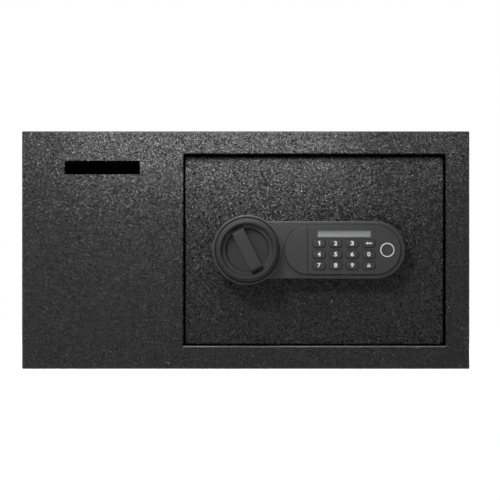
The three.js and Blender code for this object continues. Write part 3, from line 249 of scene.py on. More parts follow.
# %% Cutting, joining and finishing
SHARP_ANGLE = math.radians(32)
MERGE = 1e-6


def combine(piece, cutters, operation):
    """Applies one exact Boolean per cutter to the piece, and deletes the cutters."""
    for cutter in cutters:
        modifier = piece.modifiers.new("cut", "BOOLEAN")
        modifier.operation, modifier.solver, modifier.object = operation, "EXACT", cutter
    bpy.context.view_layer.update()
    evaluated = piece.evaluated_get(bpy.context.evaluated_depsgraph_get())
    mesh = bpy.data.meshes.new_from_object(evaluated)
    piece.modifiers.clear()
    piece.data = mesh
    mesh.name = piece.name
    for cutter in cutters:
        bpy.data.objects.remove(cutter)
    return piece


def cut(piece, *cutters):
    """The piece without the cutters' space."""
    return combine(piece, cutters, "DIFFERENCE")


def fuse(piece, *others):
    """The piece together with the others, as one closed mesh."""
    return combine(piece, others, "UNION")


def common(piece, block):
    """The part of the piece that lies inside the block."""
    return combine(piece, [block], "INTERSECT")


def settle(piece, body, slot, *nodes, look=None):
    """Cleans and shades the mesh, gives it the finish of its slot or a look of its own, hangs it on the
    empty of the body it moves with, and hides the CAD nodes it stands for."""
    work = bmesh.new()
    work.from_mesh(piece.data)
    bmesh.ops.remove_doubles(work, verts=work.verts, dist=MERGE)
    bmesh.ops.dissolve_degenerate(work, edges=work.edges, dist=MERGE)
    work.to_mesh(piece.data)
    work.free()
    mesh = piece.data
    mesh.polygons.foreach_set("use_smooth", np.ones(len(mesh.polygons), bool))
    mesh.set_sharp_from_angle(angle=SHARP_ANGLE)
    mesh.materials.clear()
    mesh.materials.append(look or LOOKS[slot])
    piece.modifiers.new("even shading", "WEIGHTED_NORMAL").keep_sharp = True
    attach(piece, body)
    if nodes:
        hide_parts(*nodes)
    print(piece.name, len(mesh.polygons), "faces")


# %% [markdown]
# Every finish is a Principled BSDF whose colour, roughness and bump come from patterns that are shared as
# node groups: a grain of rounded bumps, pebbles that each lean their own way, slow clouds, and fine lines.
# They read Object coordinates, so they have the same size, in metres, on every piece.

# %% Pattern groups
def new_group(name, inputs, outputs, kind="NodeSocketFloat"):
    """An empty node group with float or vector inputs, and outputs of one kind."""
    group = bpy.data.node_groups.new(name, "ShaderNodeTree")
    for label, input_kind, value in inputs:
        socket = group.interface.new_socket(name=label, in_out="INPUT", socket_type=input_kind)
        socket.default_value = value
    for label in outputs:
        group.interface.new_socket(name=label, in_out="OUTPUT", socket_type=kind)
    return group, group.nodes.new("NodeGroupInput"), group.nodes.new("NodeGroupOutput")


def add(tree, kind, links=(), **values):
    """A node with its properties set; links are (socket name or index, source socket or value)."""
    node = tree.nodes.new(kind)
    for name, value in values.items():
        setattr(node, name, value)
    for socket, source in links:
        if isinstance(source, bpy.types.NodeSocket):
            tree.links.new(source, node.inputs[socket])
        else:
            node.inputs[socket].default_value = source
    return node


def math_node(tree, operation, *values):
    """A Math node; a value may be a number or a socket."""
    return add(tree, "ShaderNodeMath", list(enumerate(values)), operation=operation).outputs[0]


def vector_node(tree, operation, *links, output="Vector"):
    """A Vector Math node."""
    return add(tree, "ShaderNodeVectorMath", links, operation=operation).outputs[output]


def ranged(tree, value, *limits):
    """A Map Range node with its limits."""
    return add(tree, "ShaderNodeMapRange", [("Value", value), *limits]).outputs["Result"]


def object_place(tree):
    """Object coordinates."""
    return add(tree, "ShaderNodeTexCoord").outputs["Object"]


def sized(group, entry):
    """Links of a texture at Object coordinates, whose scale is one over the group's Size."""
    scale = math_node(group, "DIVIDE", 1.0, entry.outputs["Size"])
    return [("Vector", object_place(group)), ("Scale", scale)]


GRAIN, entry, leave = new_group("rounded_grain", [("Size", "NodeSocketFloat", 0.002)], ["Height", "Peaks"])
base = sized(GRAIN, entry)
coarse = add(GRAIN, "ShaderNodeTexNoise", [*base, ("Detail", 2.0), ("Roughness", 0.45)]).outputs["Fac"]
cells = add(GRAIN, "ShaderNodeTexVoronoi", [*base, ("Smoothness", 0.6)],
            feature="SMOOTH_F1").outputs["Distance"]
height = math_node(GRAIN, "SUBTRACT", coarse, math_node(GRAIN, "MULTIPLY", cells, 0.55))
for label, low, high in (("Height", 0.0, 0.42), ("Peaks", 0.26, 0.44)):
    GRAIN.links.new(ranged(GRAIN, height, ("From Min", low), ("From Max", high)), leave.inputs[label])

pebble_inputs = [("Size", "NodeSocketFloat", 0.002), ("Amount", "NodeSocketFloat", 1.0)]
PEBBLE, entry, leave = new_group("pebble_tilt", pebble_inputs, ["Normal"], "NodeSocketVector")
pebbles = add(PEBBLE, "ShaderNodeTexVoronoi", [*sized(PEBBLE, entry), ("Smoothness", 0.3)],
              feature="SMOOTH_F1").outputs["Color"]
centred = vector_node(PEBBLE, "SUBTRACT", (0, pebbles), (1, (0.5, 0.5, 0.5)))
lean = vector_node(PEBBLE, "SCALE", (0, centred), ("Scale", entry.outputs["Amount"]))
facing = add(PEBBLE, "ShaderNodeNewGeometry").outputs["Normal"]
unit = vector_node(PEBBLE, "NORMALIZE", (0, vector_node(PEBBLE, "ADD", (0, facing), (1, lean))))
PEBBLE.links.new(unit, leave.inputs["Normal"])

CLOUD, entry, leave = new_group("slow_clouds", [("Size", "NodeSocketFloat", 0.06)], ["Value"])
noise = add(CLOUD, "ShaderNodeTexNoise", [*sized(CLOUD, entry), ("Detail", 3.0)])
CLOUD.links.new(noise.outputs["Fac"], leave.inputs["Value"])

LINES, entry, leave = new_group("fine_lines", [("Stretch", "NodeSocketVector", (1, 1, 1))], ["Value"])
stretched = vector_node(LINES, "MULTIPLY", (0, object_place(LINES)), (1, entry.outputs["Stretch"]))
noise = add(LINES, "ShaderNodeTexNoise",
            [("Vector", stretched), ("Scale", 1.0), ("Detail", 4.0), ("Roughness", 0.7)])
LINES.links.new(noise.outputs["Fac"], leave.inputs["Value"])
print("pattern groups:", GRAIN.name, PEBBLE.name, CLOUD.name, LINES.name)


# %% [markdown]
# The body and the door have a dark powder coat that dries as fine pebbles. Each pebble leans its own way,
# so light from close above makes the upper part of the front glitter, while the lower part looks calm.
# The plastic of the lock has a much finer, duller grain. A paler coat is a painted highlight: it goes on the
# upward faces of the opening's lower lip, where light from above catches the edge.

# %% Materials
def new_look(name, colour, roughness, **sockets):
    """A material with its Principled BSDF; returns the material, its tree and the shader node."""
    look = bpy.data.materials.new(name)
    look.use_nodes = True
    tree = look.node_tree
    shader = tree.nodes["Principled BSDF"]
    shader.inputs["Base Color"].default_value = (*colour, 1)
    shader.inputs["Roughness"].default_value = roughness
    for socket, value in sockets.items():
        shader.inputs[socket.replace("_", " ")].default_value = value
    look.diffuse_color = (*colour, 1)
    return look, tree, shader


def use(tree, group, *values):
    """Places a pattern group in a material with its values, and returns its outputs."""
    return add(tree, "ShaderNodeGroup", list(enumerate(values)), node_tree=group).outputs


def tint(tree, shader, mask, dark, light):
    """Base Color goes from dark to light with the mask."""
    mix = add(tree, "ShaderNodeMix", data_type="RGBA")
    tree.links.new(mask, mix.inputs["Factor"])
    mix.inputs[6].default_value, mix.inputs[7].default_value = (*dark, 1), (*light, 1)
    tree.links.new(mix.outputs[2], shader.inputs["Base Color"])


def vary_roughness(tree, shader, mask, low, high):
    """Roughness goes from low to high with the mask."""
    tree.links.new(ranged(tree, mask, ("To Min", low), ("To Max", high)), shader.inputs["Roughness"])


def bump(tree, shader, height, distance, normal=None):
    """A Bump node on the shader's normal; distance in millimetres."""
    node = add(tree, "ShaderNodeBump", [("Height", height), ("Distance", distance * MM)])
    if normal:
        tree.links.new(normal, node.inputs["Normal"])
    tree.links.new(node.outputs["Normal"], shader.inputs["Normal"])


def grey(value, warm=0.0):
    """A linear grey, a little warmer or cooler."""
    return (value * (1 + warm), value, value * (1 - warm))


CLOUD_SIZE, CLOUD_SHARE, GRAIN_SWING = 0.05, 0.2, 0.08


def coated(name, dark, light, size, depth, roughness, specular, pebble=None):
    """Powder coat or moulded plastic: grain in the bump, the colour and the roughness. pebble is the size
    in millimetres and the lean of the pebbles on a coarse coat."""
    look, tree, shader = new_look(name, grey((dark + light) / 2), roughness, Specular_IOR_Level=specular)
    grain, cloud = use(tree, GRAIN, size * MM), use(tree, CLOUD, CLOUD_SIZE)
    blend = math_node(tree, "ADD", math_node(tree, "MULTIPLY", grain["Peaks"], 1 - CLOUD_SHARE),
                      math_node(tree, "MULTIPLY", cloud["Value"], CLOUD_SHARE))
    tint(tree, shader, blend, grey(dark), grey(light))
    vary_roughness(tree, shader, grain["Height"], roughness + GRAIN_SWING, roughness - GRAIN_SWING)
    slopes = use(tree, PEBBLE, pebble[0] * MM, pebble[1])["Normal"] if pebble else None
    bump(tree, shader, grain["Height"], depth, slopes)
    return look


def patterned(name, roughness, group, value, dark, light, rough=(), depth=0.0, **sockets):
    """A material whose colour goes from dark to light with a pattern group's first output, and whose
    roughness goes from rough's first number to its second. depth is its relief in millimetres."""
    middle = tuple((low + high) / 2 for low, high in zip(dark, light))
    look, tree, shader = new_look(name, middle, roughness, **sockets)
    mask = use(tree, group, value)[0]
    tint(tree, shader, mask, dark, light)
    if rough:
        vary_roughness(tree, shader, mask, *rough)
    if depth:
        bump(tree, shader, mask, depth)
    return look


def metal(name, colour, roughness, stretch, vary):
    """Metal with fine lines along the direction of its working."""
    return patterned(name, roughness, LINES, stretch, tuple(0.82 * c for c in colour), colour,
                     (roughness - vary, roughness + vary), 0.004, Metallic=1.0)


paint = coated("powder_coat", 0.022, 0.033, 1.4, 0.25, 0.20, 0.15, (1.0, 2.0))
# A pale coat that paints the highlight of light from above on the lower lip of the door opening.
lip_highlight_paint = coated("painted_lip_highlight", 0.11, 0.27, 1.2, 0.1, 0.3, 0.3)
key_plastic = coated("key_plastic", 0.037, 0.045, 0.4, 0.01, 0.45, 0.22)
ink = patterned("white_print", 0.5, CLOUD, 0.0015, grey(0.74), grey(0.86))

window, tree, shader = new_look("display_window", grey(0.29), 0.22, Specular_IOR_Level=0.3)
tint(tree, shader, use(tree, CLOUD, 0.02)[0], grey(0.275, -0.01), grey(0.305, -0.01))
vary_roughness(tree, shader, use(tree, GRAIN, 0.00035)[0], 0.2, 0.3)

LOOKS = {
    "body_paint": paint,
    "plain_steel": metal("zinc_plated_steel", (0.42, 0.43, 0.44), 0.42, (900, 60, 60), 0.1),
    "bright_steel": metal("turned_steel", (0.56, 0.57, 0.58), 0.26, (2200, 120, 120), 0.08),
    "brass": metal("turned_brass", (0.60, 0.40, 0.13), 0.3, (150, 2000, 150), 0.08),
    "lock_plastic": coated("lock_plastic", 0.039, 0.045, 0.35, 0.012, 0.5, 0.22),
    "cover_plastic": coated("cover_plastic", 0.010, 0.018, 0.6, 0.03, 0.5, 0.3),
    "white_plastic": patterned("white_moulding", 0.35, CLOUD, 0.004, grey(0.74), grey(0.82)),
    "red_plastic": patterned("red_button", 0.35, CLOUD, 0.003, (0.36, 0.016, 0.01), (0.48, 0.026, 0.015)),
    "display_window": window,
    "sensor_glass": patterned("sensor_face", 0.3, GRAIN, 0.0009, grey(0.022), grey(0.04), (0.25, 0.4),
                              Specular_IOR_Level=0.3),
    "rubber": coated("silicone_rubber", 0.010, 0.020, 0.9, 0.02, 0.75, 0.3),
    "felt": coated("needle_felt", 0.030, 0.075, 0.9, 0.35, 0.95, 0.1),
    "board": patterned("circuit_board_lacquer", 0.35, LINES, (700, 1, 90), (0.008, 0.055, 0.02),
                       (0.03, 0.17, 0.06), depth=0.02),
    "coil": patterned("copper_winding", 0.4, LINES, (20, 20, 3200), (0.28, 0.09, 0.03),
                      (0.55, 0.21, 0.08), depth=0.05, Metallic=0.7),
    "battery": patterned("battery_sleeve", 0.3, CLOUD, 0.01, (0.015, 0.03, 0.055), (0.03, 0.055, 0.09),
                         (0.25, 0.4)),
}
for part in frame["record"]["subparts"]:
    shape = NODES[part["node"]].data
    shape.materials.clear()
    shape.materials.append(LOOKS[part["material_slot"]])
print(len(LOOKS), "finishes on", len(NODES), "nodes")


# %% [markdown]
# The body is bent steel sheet. A pan forms the front: a 3 mm outer bend with almost square corners, a
# flange that runs back 15 mm, returns round the door opening, and a deep jamb on the left that takes the
# bolts. The lip of the opening is round. The upward faces of its lower edge get a pale coat, a painted
# highlight that gives the bright line below the door. A wrapped sheet forms the sides and stands against
# the flange, where a fine seam shows.

# %% Front panel
SHEET, EDGE = 2.5, 0.4
BEND, CORNER, INNER_CORNER, SEAM_ROUND = 3.0, 1.2, 1.0, 0.25
DOOR_GAP, OPENING_CORNER = 2.0, 2.5
LIP, LIP_ROUND, LIP_CORNER = 0.7, 1.6, 0.8
SLOT, SLOT_CORNER, SLOT_ROUND = (-182.0, -106.4, 195.6, 209.2), 0.6, 0.35
STRIKE_RADIUS, BUSH_RADIUS = 9.5, 6.6
FLANGE_Y = node_box("body_wrap")[0][1]
RETURN_Y = -150.4
JAMB_Y = body_high[1]
body_box = (-body_high[0], body_high[0], 0.0, body_high[2])
door_low, door_high = node_box("door_panel")
OPENING = front_box(door_low, door_high, DOOR_GAP)
BOLT_Y = node_middle("bolt_upper")[1]
BOLT_PLACES = [node_middle(f"bolt_{end}")[2] for end in ("upper", "lower")]
bush_x, bush_y, _ = node_middle("hinge_bush_upper")


def mitred(box, radius, rows):
    """Rings of a pan whose bend is wider than its corner: each ring is a rounded rectangle of its own,
    moved in by its inset. The radius of its corners shrinks with the inset, to 0.2 mm at least."""
    rings = [outline_in(box, -inset, max(radius - inset, 0.2))[0] for _, inset in rows]
    return stacked(np.stack(rings), rows[:, 0])


front = skin("front_panel_sheet", mitred(body_box, CORNER, edged(FRONT_Y, FLANGE_Y, BEND, SEAM_ROUND, 10)))
cut(front, plate("hollow", outline_in(body_box, -SHEET, INNER_CORNER), FRONT_Y + SHEET, FLANGE_Y + PAST))
fuse(front, plate("returns", outline_in(OPENING, SHEET, OPENING_CORNER + SHEET),
                  FRONT_Y + SHEET / 2, RETURN_Y, 0, EDGE))
opening_rows = flared(FRONT_Y, JAMB_Y + PAST, LIP_ROUND, 8)
cut(front, skin("opening", carried(outline_in(OPENING, -LIP, LIP_CORNER), opening_rows)))
jamb_box = (OPENING[0] - SHEET, OPENING[0], OPENING[2] + OPENING_CORNER, OPENING[3] - OPENING_CORNER)
fuse(front, plate("jamb", rectangle(*jamb_box), FRONT_Y + SHEET, JAMB_Y, 0, EDGE))
slot_rows = flared(FRONT_Y, FRONT_Y + PAST, SLOT_ROUND, 3)
slot_cutter = skin("slot", carried(outline_in(SLOT, 0, SLOT_CORNER, 4), slot_rows))
strikes = [skin("strike", along_x(cylinder(STRIKE_RADIUS, -6, 6), OPENING[0], BOLT_Y, z))
           for z in BOLT_PLACES]
bushes = [skin("bush hole", along_z(cylinder(BUSH_RADIUS, -SHEET, SHEET, steps=32), bush_x, bush_y, z))
          for z in (OPENING[3] + SHEET / 2, OPENING[2] - SHEET / 2)]
cut(front, slot_cutter, *strikes, *bushes)
settle(front, "safe_body", "body_paint", "front_panel")

# The upward faces of the opening's lower lip get the pale coat: a painted highlight of light from above.
faces = front.data.polygons
middles, ways = np.empty(len(faces) * 3), np.empty(len(faces) * 3)
faces.foreach_get("center", middles)
faces.foreach_get("normal", ways)
x, y, z = middles.reshape(-1, 3).T / MM
painted_highlight = ((ways[2::3] > 0.25) & (y < FRONT_Y + LIP_ROUND) & (z > 1.0) & (z < OPENING[2] + LIP)
          & (x > OPENING[0]) & (x < OPENING[1]))
front.data.materials.append(lip_highlight_paint)
faces.foreach_set("material_index", painted_highlight.astype(np.int32))
print("rubbed faces:", int(painted_highlight.sum()))

# %% [markdown]
# The sides, top and bottom are one sheet wrapped round, and the back is a plate set into it, as on a
# welded safe. Bolt holes in the base and the back take the anchors.

# %% Body sheet and back panel
BACK_Y = 175.0
BACK_GAP = 0.3
ANCHOR_RADIUS = 5
ANCHOR_X, ANCHOR_Y, ANCHOR_Z = 150, 110, 160
BASE_ANCHORS = [(x, y) for x in (-ANCHOR_X, ANCHOR_X) for y in (-ANCHOR_Y, ANCHOR_Y)]

wrap = plate("body_sheet", outline_in(body_box, 0, CORNER, 10), FLANGE_Y, BACK_Y, SEAM_ROUND, 0.8, 5)
anchors = [skin("anchor", along_z(cylinder(ANCHOR_RADIUS, -6, 6, steps=40), x, y, 1.0))
           for x, y in BASE_ANCHORS]
cut(wrap, plate("hollow", outline_in(body_box, -SHEET, INNER_CORNER), FLANGE_Y - PAST, BACK_Y + PAST),
    *anchors)
settle(wrap, "safe_body", "body_paint", "body_wrap")

back = plate("back_plate", outline_in(body_box, -SHEET - BACK_GAP, INNER_CORNER), BACK_Y - SHEET, BACK_Y,
             0, 0.5)
cut(back, *[skin("anchor", cylinder(ANCHOR_RADIUS, BACK_Y - 10, BACK_Y + PAST, x, ANCHOR_Z, 40))
            for x in (-ANCHOR_X, ANCHOR_X)])
settle(back, "safe_body", "body_paint", "back_panel")

# %% [markdown]
# The door is a 5 mm plate with softened edges, 6 mm behind the front face. Its outline is a little smaller
# than the solid's, so that the gaps round it have the widths they have in the photograph.

# %% Door plate
DOOR_THICKNESS, DOOR_ROUND, DOOR_CORNER = 5, 1.6, 1.8
TRIM_LEFT, TRIM_RIGHT, TRIM_TOP = 0.5, 0.8, 1.2
KEYHOLE_OFFSET, CABLE_OFFSET = 49.5, 100
LOCK_HOLE, CABLE_HOLE = 7.3, 6
lock_x, _, lock_z = node_middle("spindle_bush")
DOOR_Y = door_low[1]

door_box = (door_low[0] + TRIM_LEFT, door_high[0] - TRIM_RIGHT, door_low[2], door_high[2] - TRIM_TOP)
door = plate("door_plate", outline_in(door_box, 0, DOOR_CORNER), DOOR_Y, DOOR_Y + DOOR_THICKNESS,
             DOOR_ROUND, 0.3, 8)
cut(door, *[skin("hole", cylinder(radius, DOOR_Y - PAST, DOOR_Y + 10, lock_x + x, lock_z))
            for radius, x in ((LOCK_HOLE, 0), (LOCK_HOLE, KEYHOLE_OFFSET), (CABLE_HOLE, CABLE_OFFSET))])
settle(door, "door", "body_paint", "door_panel")

# %% [markdown]
# The lock housing is a moulded shell: a round boss for the knob runs through two fillets into a straight
# bar with a round end. The outline is four kinds of arc joined into one loop. A fillet bends the other
# way, so its outward direction is turned round.

# %% Lock housing
BOSS_RADIUS, FILLET, HOUSING_RADIUS = 35.2, 6.0, 28.95
HOUSING_FRONT, BOSS_FRONT = DOOR_Y - 14, DOOR_Y - 16
HOUSING_ROUND, HOUSING_WALL = 1.5, 2.5
FASCIA_RADIUS, FASCIA_START, FASCIA_GAP = 24.6, lock_x + 61.9, 0.3
SEAM_X = lock_x + 60.7
POCKET = 2
RECESS_RADIUS, RECESS_DEPTH, RECESS_ROUND = 32.3, 5, 1.0
SPINDLE_HOLE = 4.4
finger_x = node_middle("fingerprint_ring")[0]
END_X = finger_x - 11.1


def housing_outline(grow=0.0):
    """The boss circle and the end arc, joined by fillets whose centres lie outside the outline."""
    boss, half, fillet = BOSS_RADIUS + grow, HOUSING_RADIUS + grow, FILLET - grow
    reach = math.sqrt((boss + fillet) ** 2 - (half + fillet) ** 2)
    angle = math.degrees(math.atan2(half + fillet, reach))
    upper = arc(lock_x + reach, lock_z + half + fillet, fillet, 270, 180 + angle, 12)
    lower = arc(lock_x + reach, lock_z - half - fillet, fillet, 180 - angle, 90, 12)
    return joined(arc(END_X, lock_z, half, -90, 90, 48), (upper[0], -upper[1]),
                  arc(lock_x, lock_z, boss, angle, 360 - angle, 96), (lower[0], -lower[1]))


def fascia_outline(grow=0.0, steps=24):
    """The stadium of the raised fascia, grown on each side."""
    return stadium(FASCIA_START, END_X, lock_z, FASCIA_RADIUS + grow, steps)


housing = plate("housing_shell", housing_outline(), HOUSING_FRONT, DOOR_Y, HOUSING_ROUND, 0, 8)
boss_rows = round_front(BOSS_RADIUS, BOSS_FRONT, HOUSING_ROUND, 8) + [(BOSS_RADIUS, DOOR_Y)]
fuse(housing, skin("boss", turned(boss_rows, lock_x, lock_z, 128)))
recess_rows = ([(RECESS_RADIUS + RECESS_ROUND, BOSS_FRONT - 1)]
               + [(RECESS_RADIUS + i, BOSS_FRONT + d) for d, i in quarter(RECESS_ROUND, 8)]
               + [(RECESS_RADIUS, BOSS_FRONT + RECESS_DEPTH)])
pocket = carried(fascia_outline(FASCIA_GAP, 40), flared(HOUSING_FRONT, HOUSING_FRONT + POCKET, 0.35, 4))
inside = plate("inside", housing_outline(-HOUSING_WALL), HOUSING_FRONT + HOUSING_WALL, DOOR_Y + 2)
knob_floor = BOSS_FRONT + RECESS_DEPTH + HOUSING_WALL
cut(inside, skin("knob floor", cylinder(BOSS_RADIUS, BOSS_FRONT, knob_floor, lock_x, lock_z, 96)),
    plate("pocket floor", fascia_outline(FASCIA_GAP + HOUSING_WALL), HOUSING_FRONT,
          HOUSING_FRONT + POCKET + HOUSING_WALL))
key_mat_low, key_mat_high = node_box("key_mat")
window_box = (key_mat_low[0] - 0.5, key_mat_high[0] + 0.5, key_mat_low[2] - 0.5, lock_z + 21.5)
cut(housing, skin("recess", turned(recess_rows, lock_x, lock_z, 128)), skin("pocket", pocket), inside,
    plate("window", rectangle(*window_box), HOUSING_FRONT - 1, HOUSING_FRONT + 6),
    skin("spindle hole", cylinder(SPINDLE_HOLE, BOSS_FRONT, DOOR_Y, lock_x, lock_z, 32)),
    skin("lock hole", cylinder(LOCK_HOLE, HOUSING_FRONT - 1, DOOR_Y, lock_x + KEYHOLE_OFFSET, lock_z)))
settle(housing, "door", "lock_plastic", "lock_housing")

# %% [markdown]
# A raised fascia fills the pocket. A seam splits it: the left part is a cap over the emergency keyhole,
# and the right part carries the keys, the display and the fingerprint reader.

# %% Fascia and keyhole cover
FASCIA_FRONT, FASCIA_BACK = HOUSING_FRONT - 2, HOUSING_FRONT + 1.7
FASCIA_SKIN = FASCIA_FRONT + 1.8
FASCIA_WALL, SEAM_HALF, REACH = 1.6, 0.25, 30
KEYS = [f"key_{name}" for name in (*range(10), "back", "lock")]
KEY_WIDTH, KEY_HEIGHT = 13.2, 7.6
KEY_HALF = (KEY_WIDTH - KEY_HEIGHT) / 2
KEY_HOLE, RING_HOLE = 4.1, 7.4


def fascia_part(name, x1, x2):
    """The part of the raised stadium between two upright planes, hollow from behind."""
    whole = plate(name, fascia_outline(steps=40), FASCIA_FRONT, FASCIA_BACK, 0.8)
    inner = plate("inner", fascia_outline(-FASCIA_WALL), FASCIA_SKIN, FASCIA_BACK + 1)
    for piece, wall, past in ((whole, 0, 1), (inner, FASCIA_WALL, 2)):
        band = rectangle(x1 + wall, x2 - wall, lock_z - REACH, lock_z + REACH)
        common(piece, plate("keep", band, FASCIA_FRONT - 1, FASCIA_BACK + past))
    return cut(whole, inner)


def through_fascia(name, outline, radius):
    """A cutter through the face of the fascia with a round front edge."""
    return skin(name, carried(outline, flared(FASCIA_FRONT, FASCIA_SKIN + 1, radius, 3)))


cap = fascia_part("keyhole_cap", FASCIA_START - REACH, SEAM_X - SEAM_HALF)
settle(cap, "keyhole_lid", "lock_plastic", "keyhole_cover")

fascia = fascia_part("keypad_panel", SEAM_X + SEAM_HALF, END_X + REACH)
key_places = [node_middle(name)[[0, 2]] for name in KEYS]
holes = [through_fascia("key hole", stadium(x - KEY_HALF, x + KEY_HALF, z, KEY_HOLE, 12), 0.25)
         for x, z in key_places]
lens_low, lens_high = node_box("display_lens")
lens_box = front_box(lens_low, lens_high)
holes.append(through_fascia("display hole", outline_in(lens_box, -1, 0.5, 4), 0.3))
holes.append(plate("display seat", rectangle(*front_box(lens_low, lens_high, 0.3)), FASCIA_FRONT + 1.1,
                   FASCIA_SKIN + 1))
holes.append(skin("ring hole", cylinder(RING_HOLE, FASCIA_FRONT - 1, FASCIA_BACK, finger_x, lock_z, 64)))
cut(fascia, *holes)
settle(fascia, "door", "lock_plastic", "keypad_fascia")

# %% [markdown]
# The keys are pills with softly crowned tops that stand 1.2 mm proud, so each throws a small shadow.
# Their digits are white print. Two keys carry signs in place of a word: an arrow that points back, and a
# padlock. The digits come from Blender's own font, thickened, turned to a mesh and set on the key; the 1
# is an outline of its own, because the photograph's has no foot.

# %% Keys
KEY_RADIUS, KEY_RIM, CROWN = 3.8, 0.75, 0.18
KEY_FRONT = FASCIA_FRONT - 1.2
FLANGE_FRONT, FLANGE_WIDTH = FASCIA_SKIN + 0.3, 0.8
KEY_BACK = FLANGE_FRONT + 0.8


def key_rows():
    """Rings from the middle outward: a crown that falls with the square of the distance, a round rim,
    the side, the flange behind the fascia and the back."""
    reach = np.linspace(0.15, 1, 8)
    flat = KEY_RADIUS - KEY_RIM
    crown = np.column_stack([KEY_FRONT + CROWN * reach ** 2, KEY_RADIUS - flat * reach])
    rim = quarter(KEY_RIM, 6) + [KEY_FRONT + CROWN, 0]
    flange = [[FLANGE_FRONT, 0.0], [FLANGE_FRONT, -FLANGE_WIDTH], [KEY_BACK, -FLANGE_WIDTH], [KEY_BACK, 0.5]]
    return np.vstack([crown, rim[1:], flange])


def key_body(name):
    """The button's name in the motion record."""
    return "button_" + name.split("_")[1]


for name, (x, z) in zip(KEYS, key_places):
    key = skin(name + "_cap", carried(stadium(x - KEY_HALF, x + KEY_HALF, z, KEY_RADIUS, 14), key_rows()))
    fuse(key, skin("stem", cylinder(2.0, KEY_BACK - 0.4, KEY_BACK + 1.2, x, z, 24)))
    settle(key, key_body(name), "lock_plastic", name, look=key_plastic)

# %% Signs on the keys
SIGN_RAISE = 0.5
DIGIT_SIZE = (3.3, 4.4)
PRINT_FRONT, PRINT_BACK = KEY_FRONT - 0.02, KEY_FRONT + 0.3


def font_sign(digit):
    """A digit from the built-in font, thickened, scaled and set on its key: its face stands a hair above
    the crown, and its back lies inside the key."""
    name = f"key_{digit}"
    curve = bpy.data.curves.new("digit", "FONT")
    curve.body, curve.align_x, curve.align_y = str(digit), "CENTER", "CENTER"
    curve.size, curve.offset, curve.extrude, curve.resolution_u = 1.0, 0.035, 0.01, 6
    source = bpy.data.objects.new("digit", curve)
    bpy.context.scene.collection.objects.link(source)
    bpy.context.view_layer.update()
    mesh = bpy.data.meshes.new_from_object(source.evaluated_get(bpy.context.evaluated_depsgraph_get()))
    bpy.data.objects.remove(source)

    points = np.empty(len(mesh.vertices) * 3)
    mesh.vertices.foreach_get("co", points)
    points = points.reshape(-1, 3)
    low, high = points.min(0), points.max(0)
    points = (points - (low + high) / 2) / (high - low) * [*DIGIT_SIZE, 1]
    x, _, z = node_middle(name)
    depth = np.where(points[:, 2] > 0, PRINT_FRONT, PRINT_BACK)
    placed = np.column_stack([x + points[:, 0], depth, z + SIGN_RAISE + points[:, 1]]) * MM
    mesh.vertices.foreach_set("co", placed.ravel())
    sign = bpy.data.objects.new(name + "_sign", mesh)
    bpy.context.scene.collection.objects.link(sign)
    settle(sign, key_body(name), "white_plastic", look=ink)


def drawn_sign(name, points):
    """A sign with an outline of its own, set on its key like a digit."""
    x, _, z = node_middle(name)
    points = np.array(points) + [x, z + SIGN_RAISE]
    sign = skin(name + "_sign", carried((points, 0 * points), [[PRINT_FRONT, 0], [PRINT_BACK, 0]]))
    settle(sign, key_body(name), "white_plastic", look=ink)


for digit in (0, *range(2, 10)):
    font_sign(digit)
drawn_sign("key_1", [[0.95, -2.2], [0.95, 2.2], [0.1, 2.2], [-0.95, 1.5], [-0.95, 0.55], [-0.1, 1.05],
                     [-0.1, -2.2]])
drawn_sign("key_back", [[-0.9, -1.6], [-0.9, -0.6], [3.2, -0.6], [3.2, 0.6], [-0.9, 0.6], [-0.9, 1.6],
                        [-3.2, 0]])

bow = np.radians(np.linspace(0, 180, 17))
outer = np.column_stack([1.35 * np.cos(bow), 0.4 + 1.6 * np.sin(bow)])
inner = np.column_stack([0.8 * np.cos(bow), 0.4 + 1.05 * np.sin(bow)])[::-1]
chest = np.array([[-1.35, 0.1], [-2, 0.1], [-2, -2], [2, -2], [2, 0.1], [1.35, 0.1]])
padlock = np.vstack([outer[:9], inner[8:], [[0.8, 0.1], [-0.8, 0.1]], inner[:9], outer[8:], chest])
drawn_sign("key_lock", padlock * [0.85, 0.9])

# %% [markdown]
# The display is a satin window in a recess. The fingerprint reader is a dark face in a white ring.

# %% Display and fingerprint reader
RING_RADIUS, RING_BORE, RING_ROUND = 7.1, 6.0, 0.35
FLANGE_RADIUS, FACE_RADIUS = RING_RADIUS + 1.1, RING_BORE - 0.3
ring_front, ring_flange = FASCIA_FRONT - 0.4, FASCIA_BACK - 1

lens = plate("display_glass", outline_in(lens_box, 0, 0.4, 4), lens_low[1], lens_high[1], 0.12, 0, 3)
settle(lens, "door", "display_window", "display_lens")

bore = [(RING_BORE + i, ring_front + d) for d, i in quarter(RING_ROUND, 5)][::-1]
ring_rows = round_front(RING_RADIUS, ring_front, RING_ROUND, 5) + [
    (RING_RADIUS, ring_flange), (FLANGE_RADIUS, ring_flange), (FLANGE_RADIUS, FASCIA_BACK),
    (RING_BORE, FASCIA_BACK)] + bore
ring = skin("fingerprint_bezel", turned(ring_rows, finger_x, lock_z, 96), loop=True)
settle(ring, "door", "white_plastic", "fingerprint_ring")

face_rows = dome(FACE_RADIUS - 0.1, FASCIA_FRONT + 0.85, -0.35, 0.08, 10)
face_rows += [(FACE_RADIUS, FASCIA_FRONT + 0.6), (FACE_RADIUS, FASCIA_BACK)]
face = skin("fingerprint_face", turned(face_rows, finger_x, lock_z, 72))
settle(face, "door", "sensor_glass", "fingerprint_sensor")

# %% [markdown]
# The knob is a dish with a grip bar across it. Turned about its own axis it needs only one profile: the
# floor, the wall, a ledge, a cone up to the thin lip, and the outside. The bar is a rounded block cut to
# the dish's circle, and it leans to the left as in the photograph.

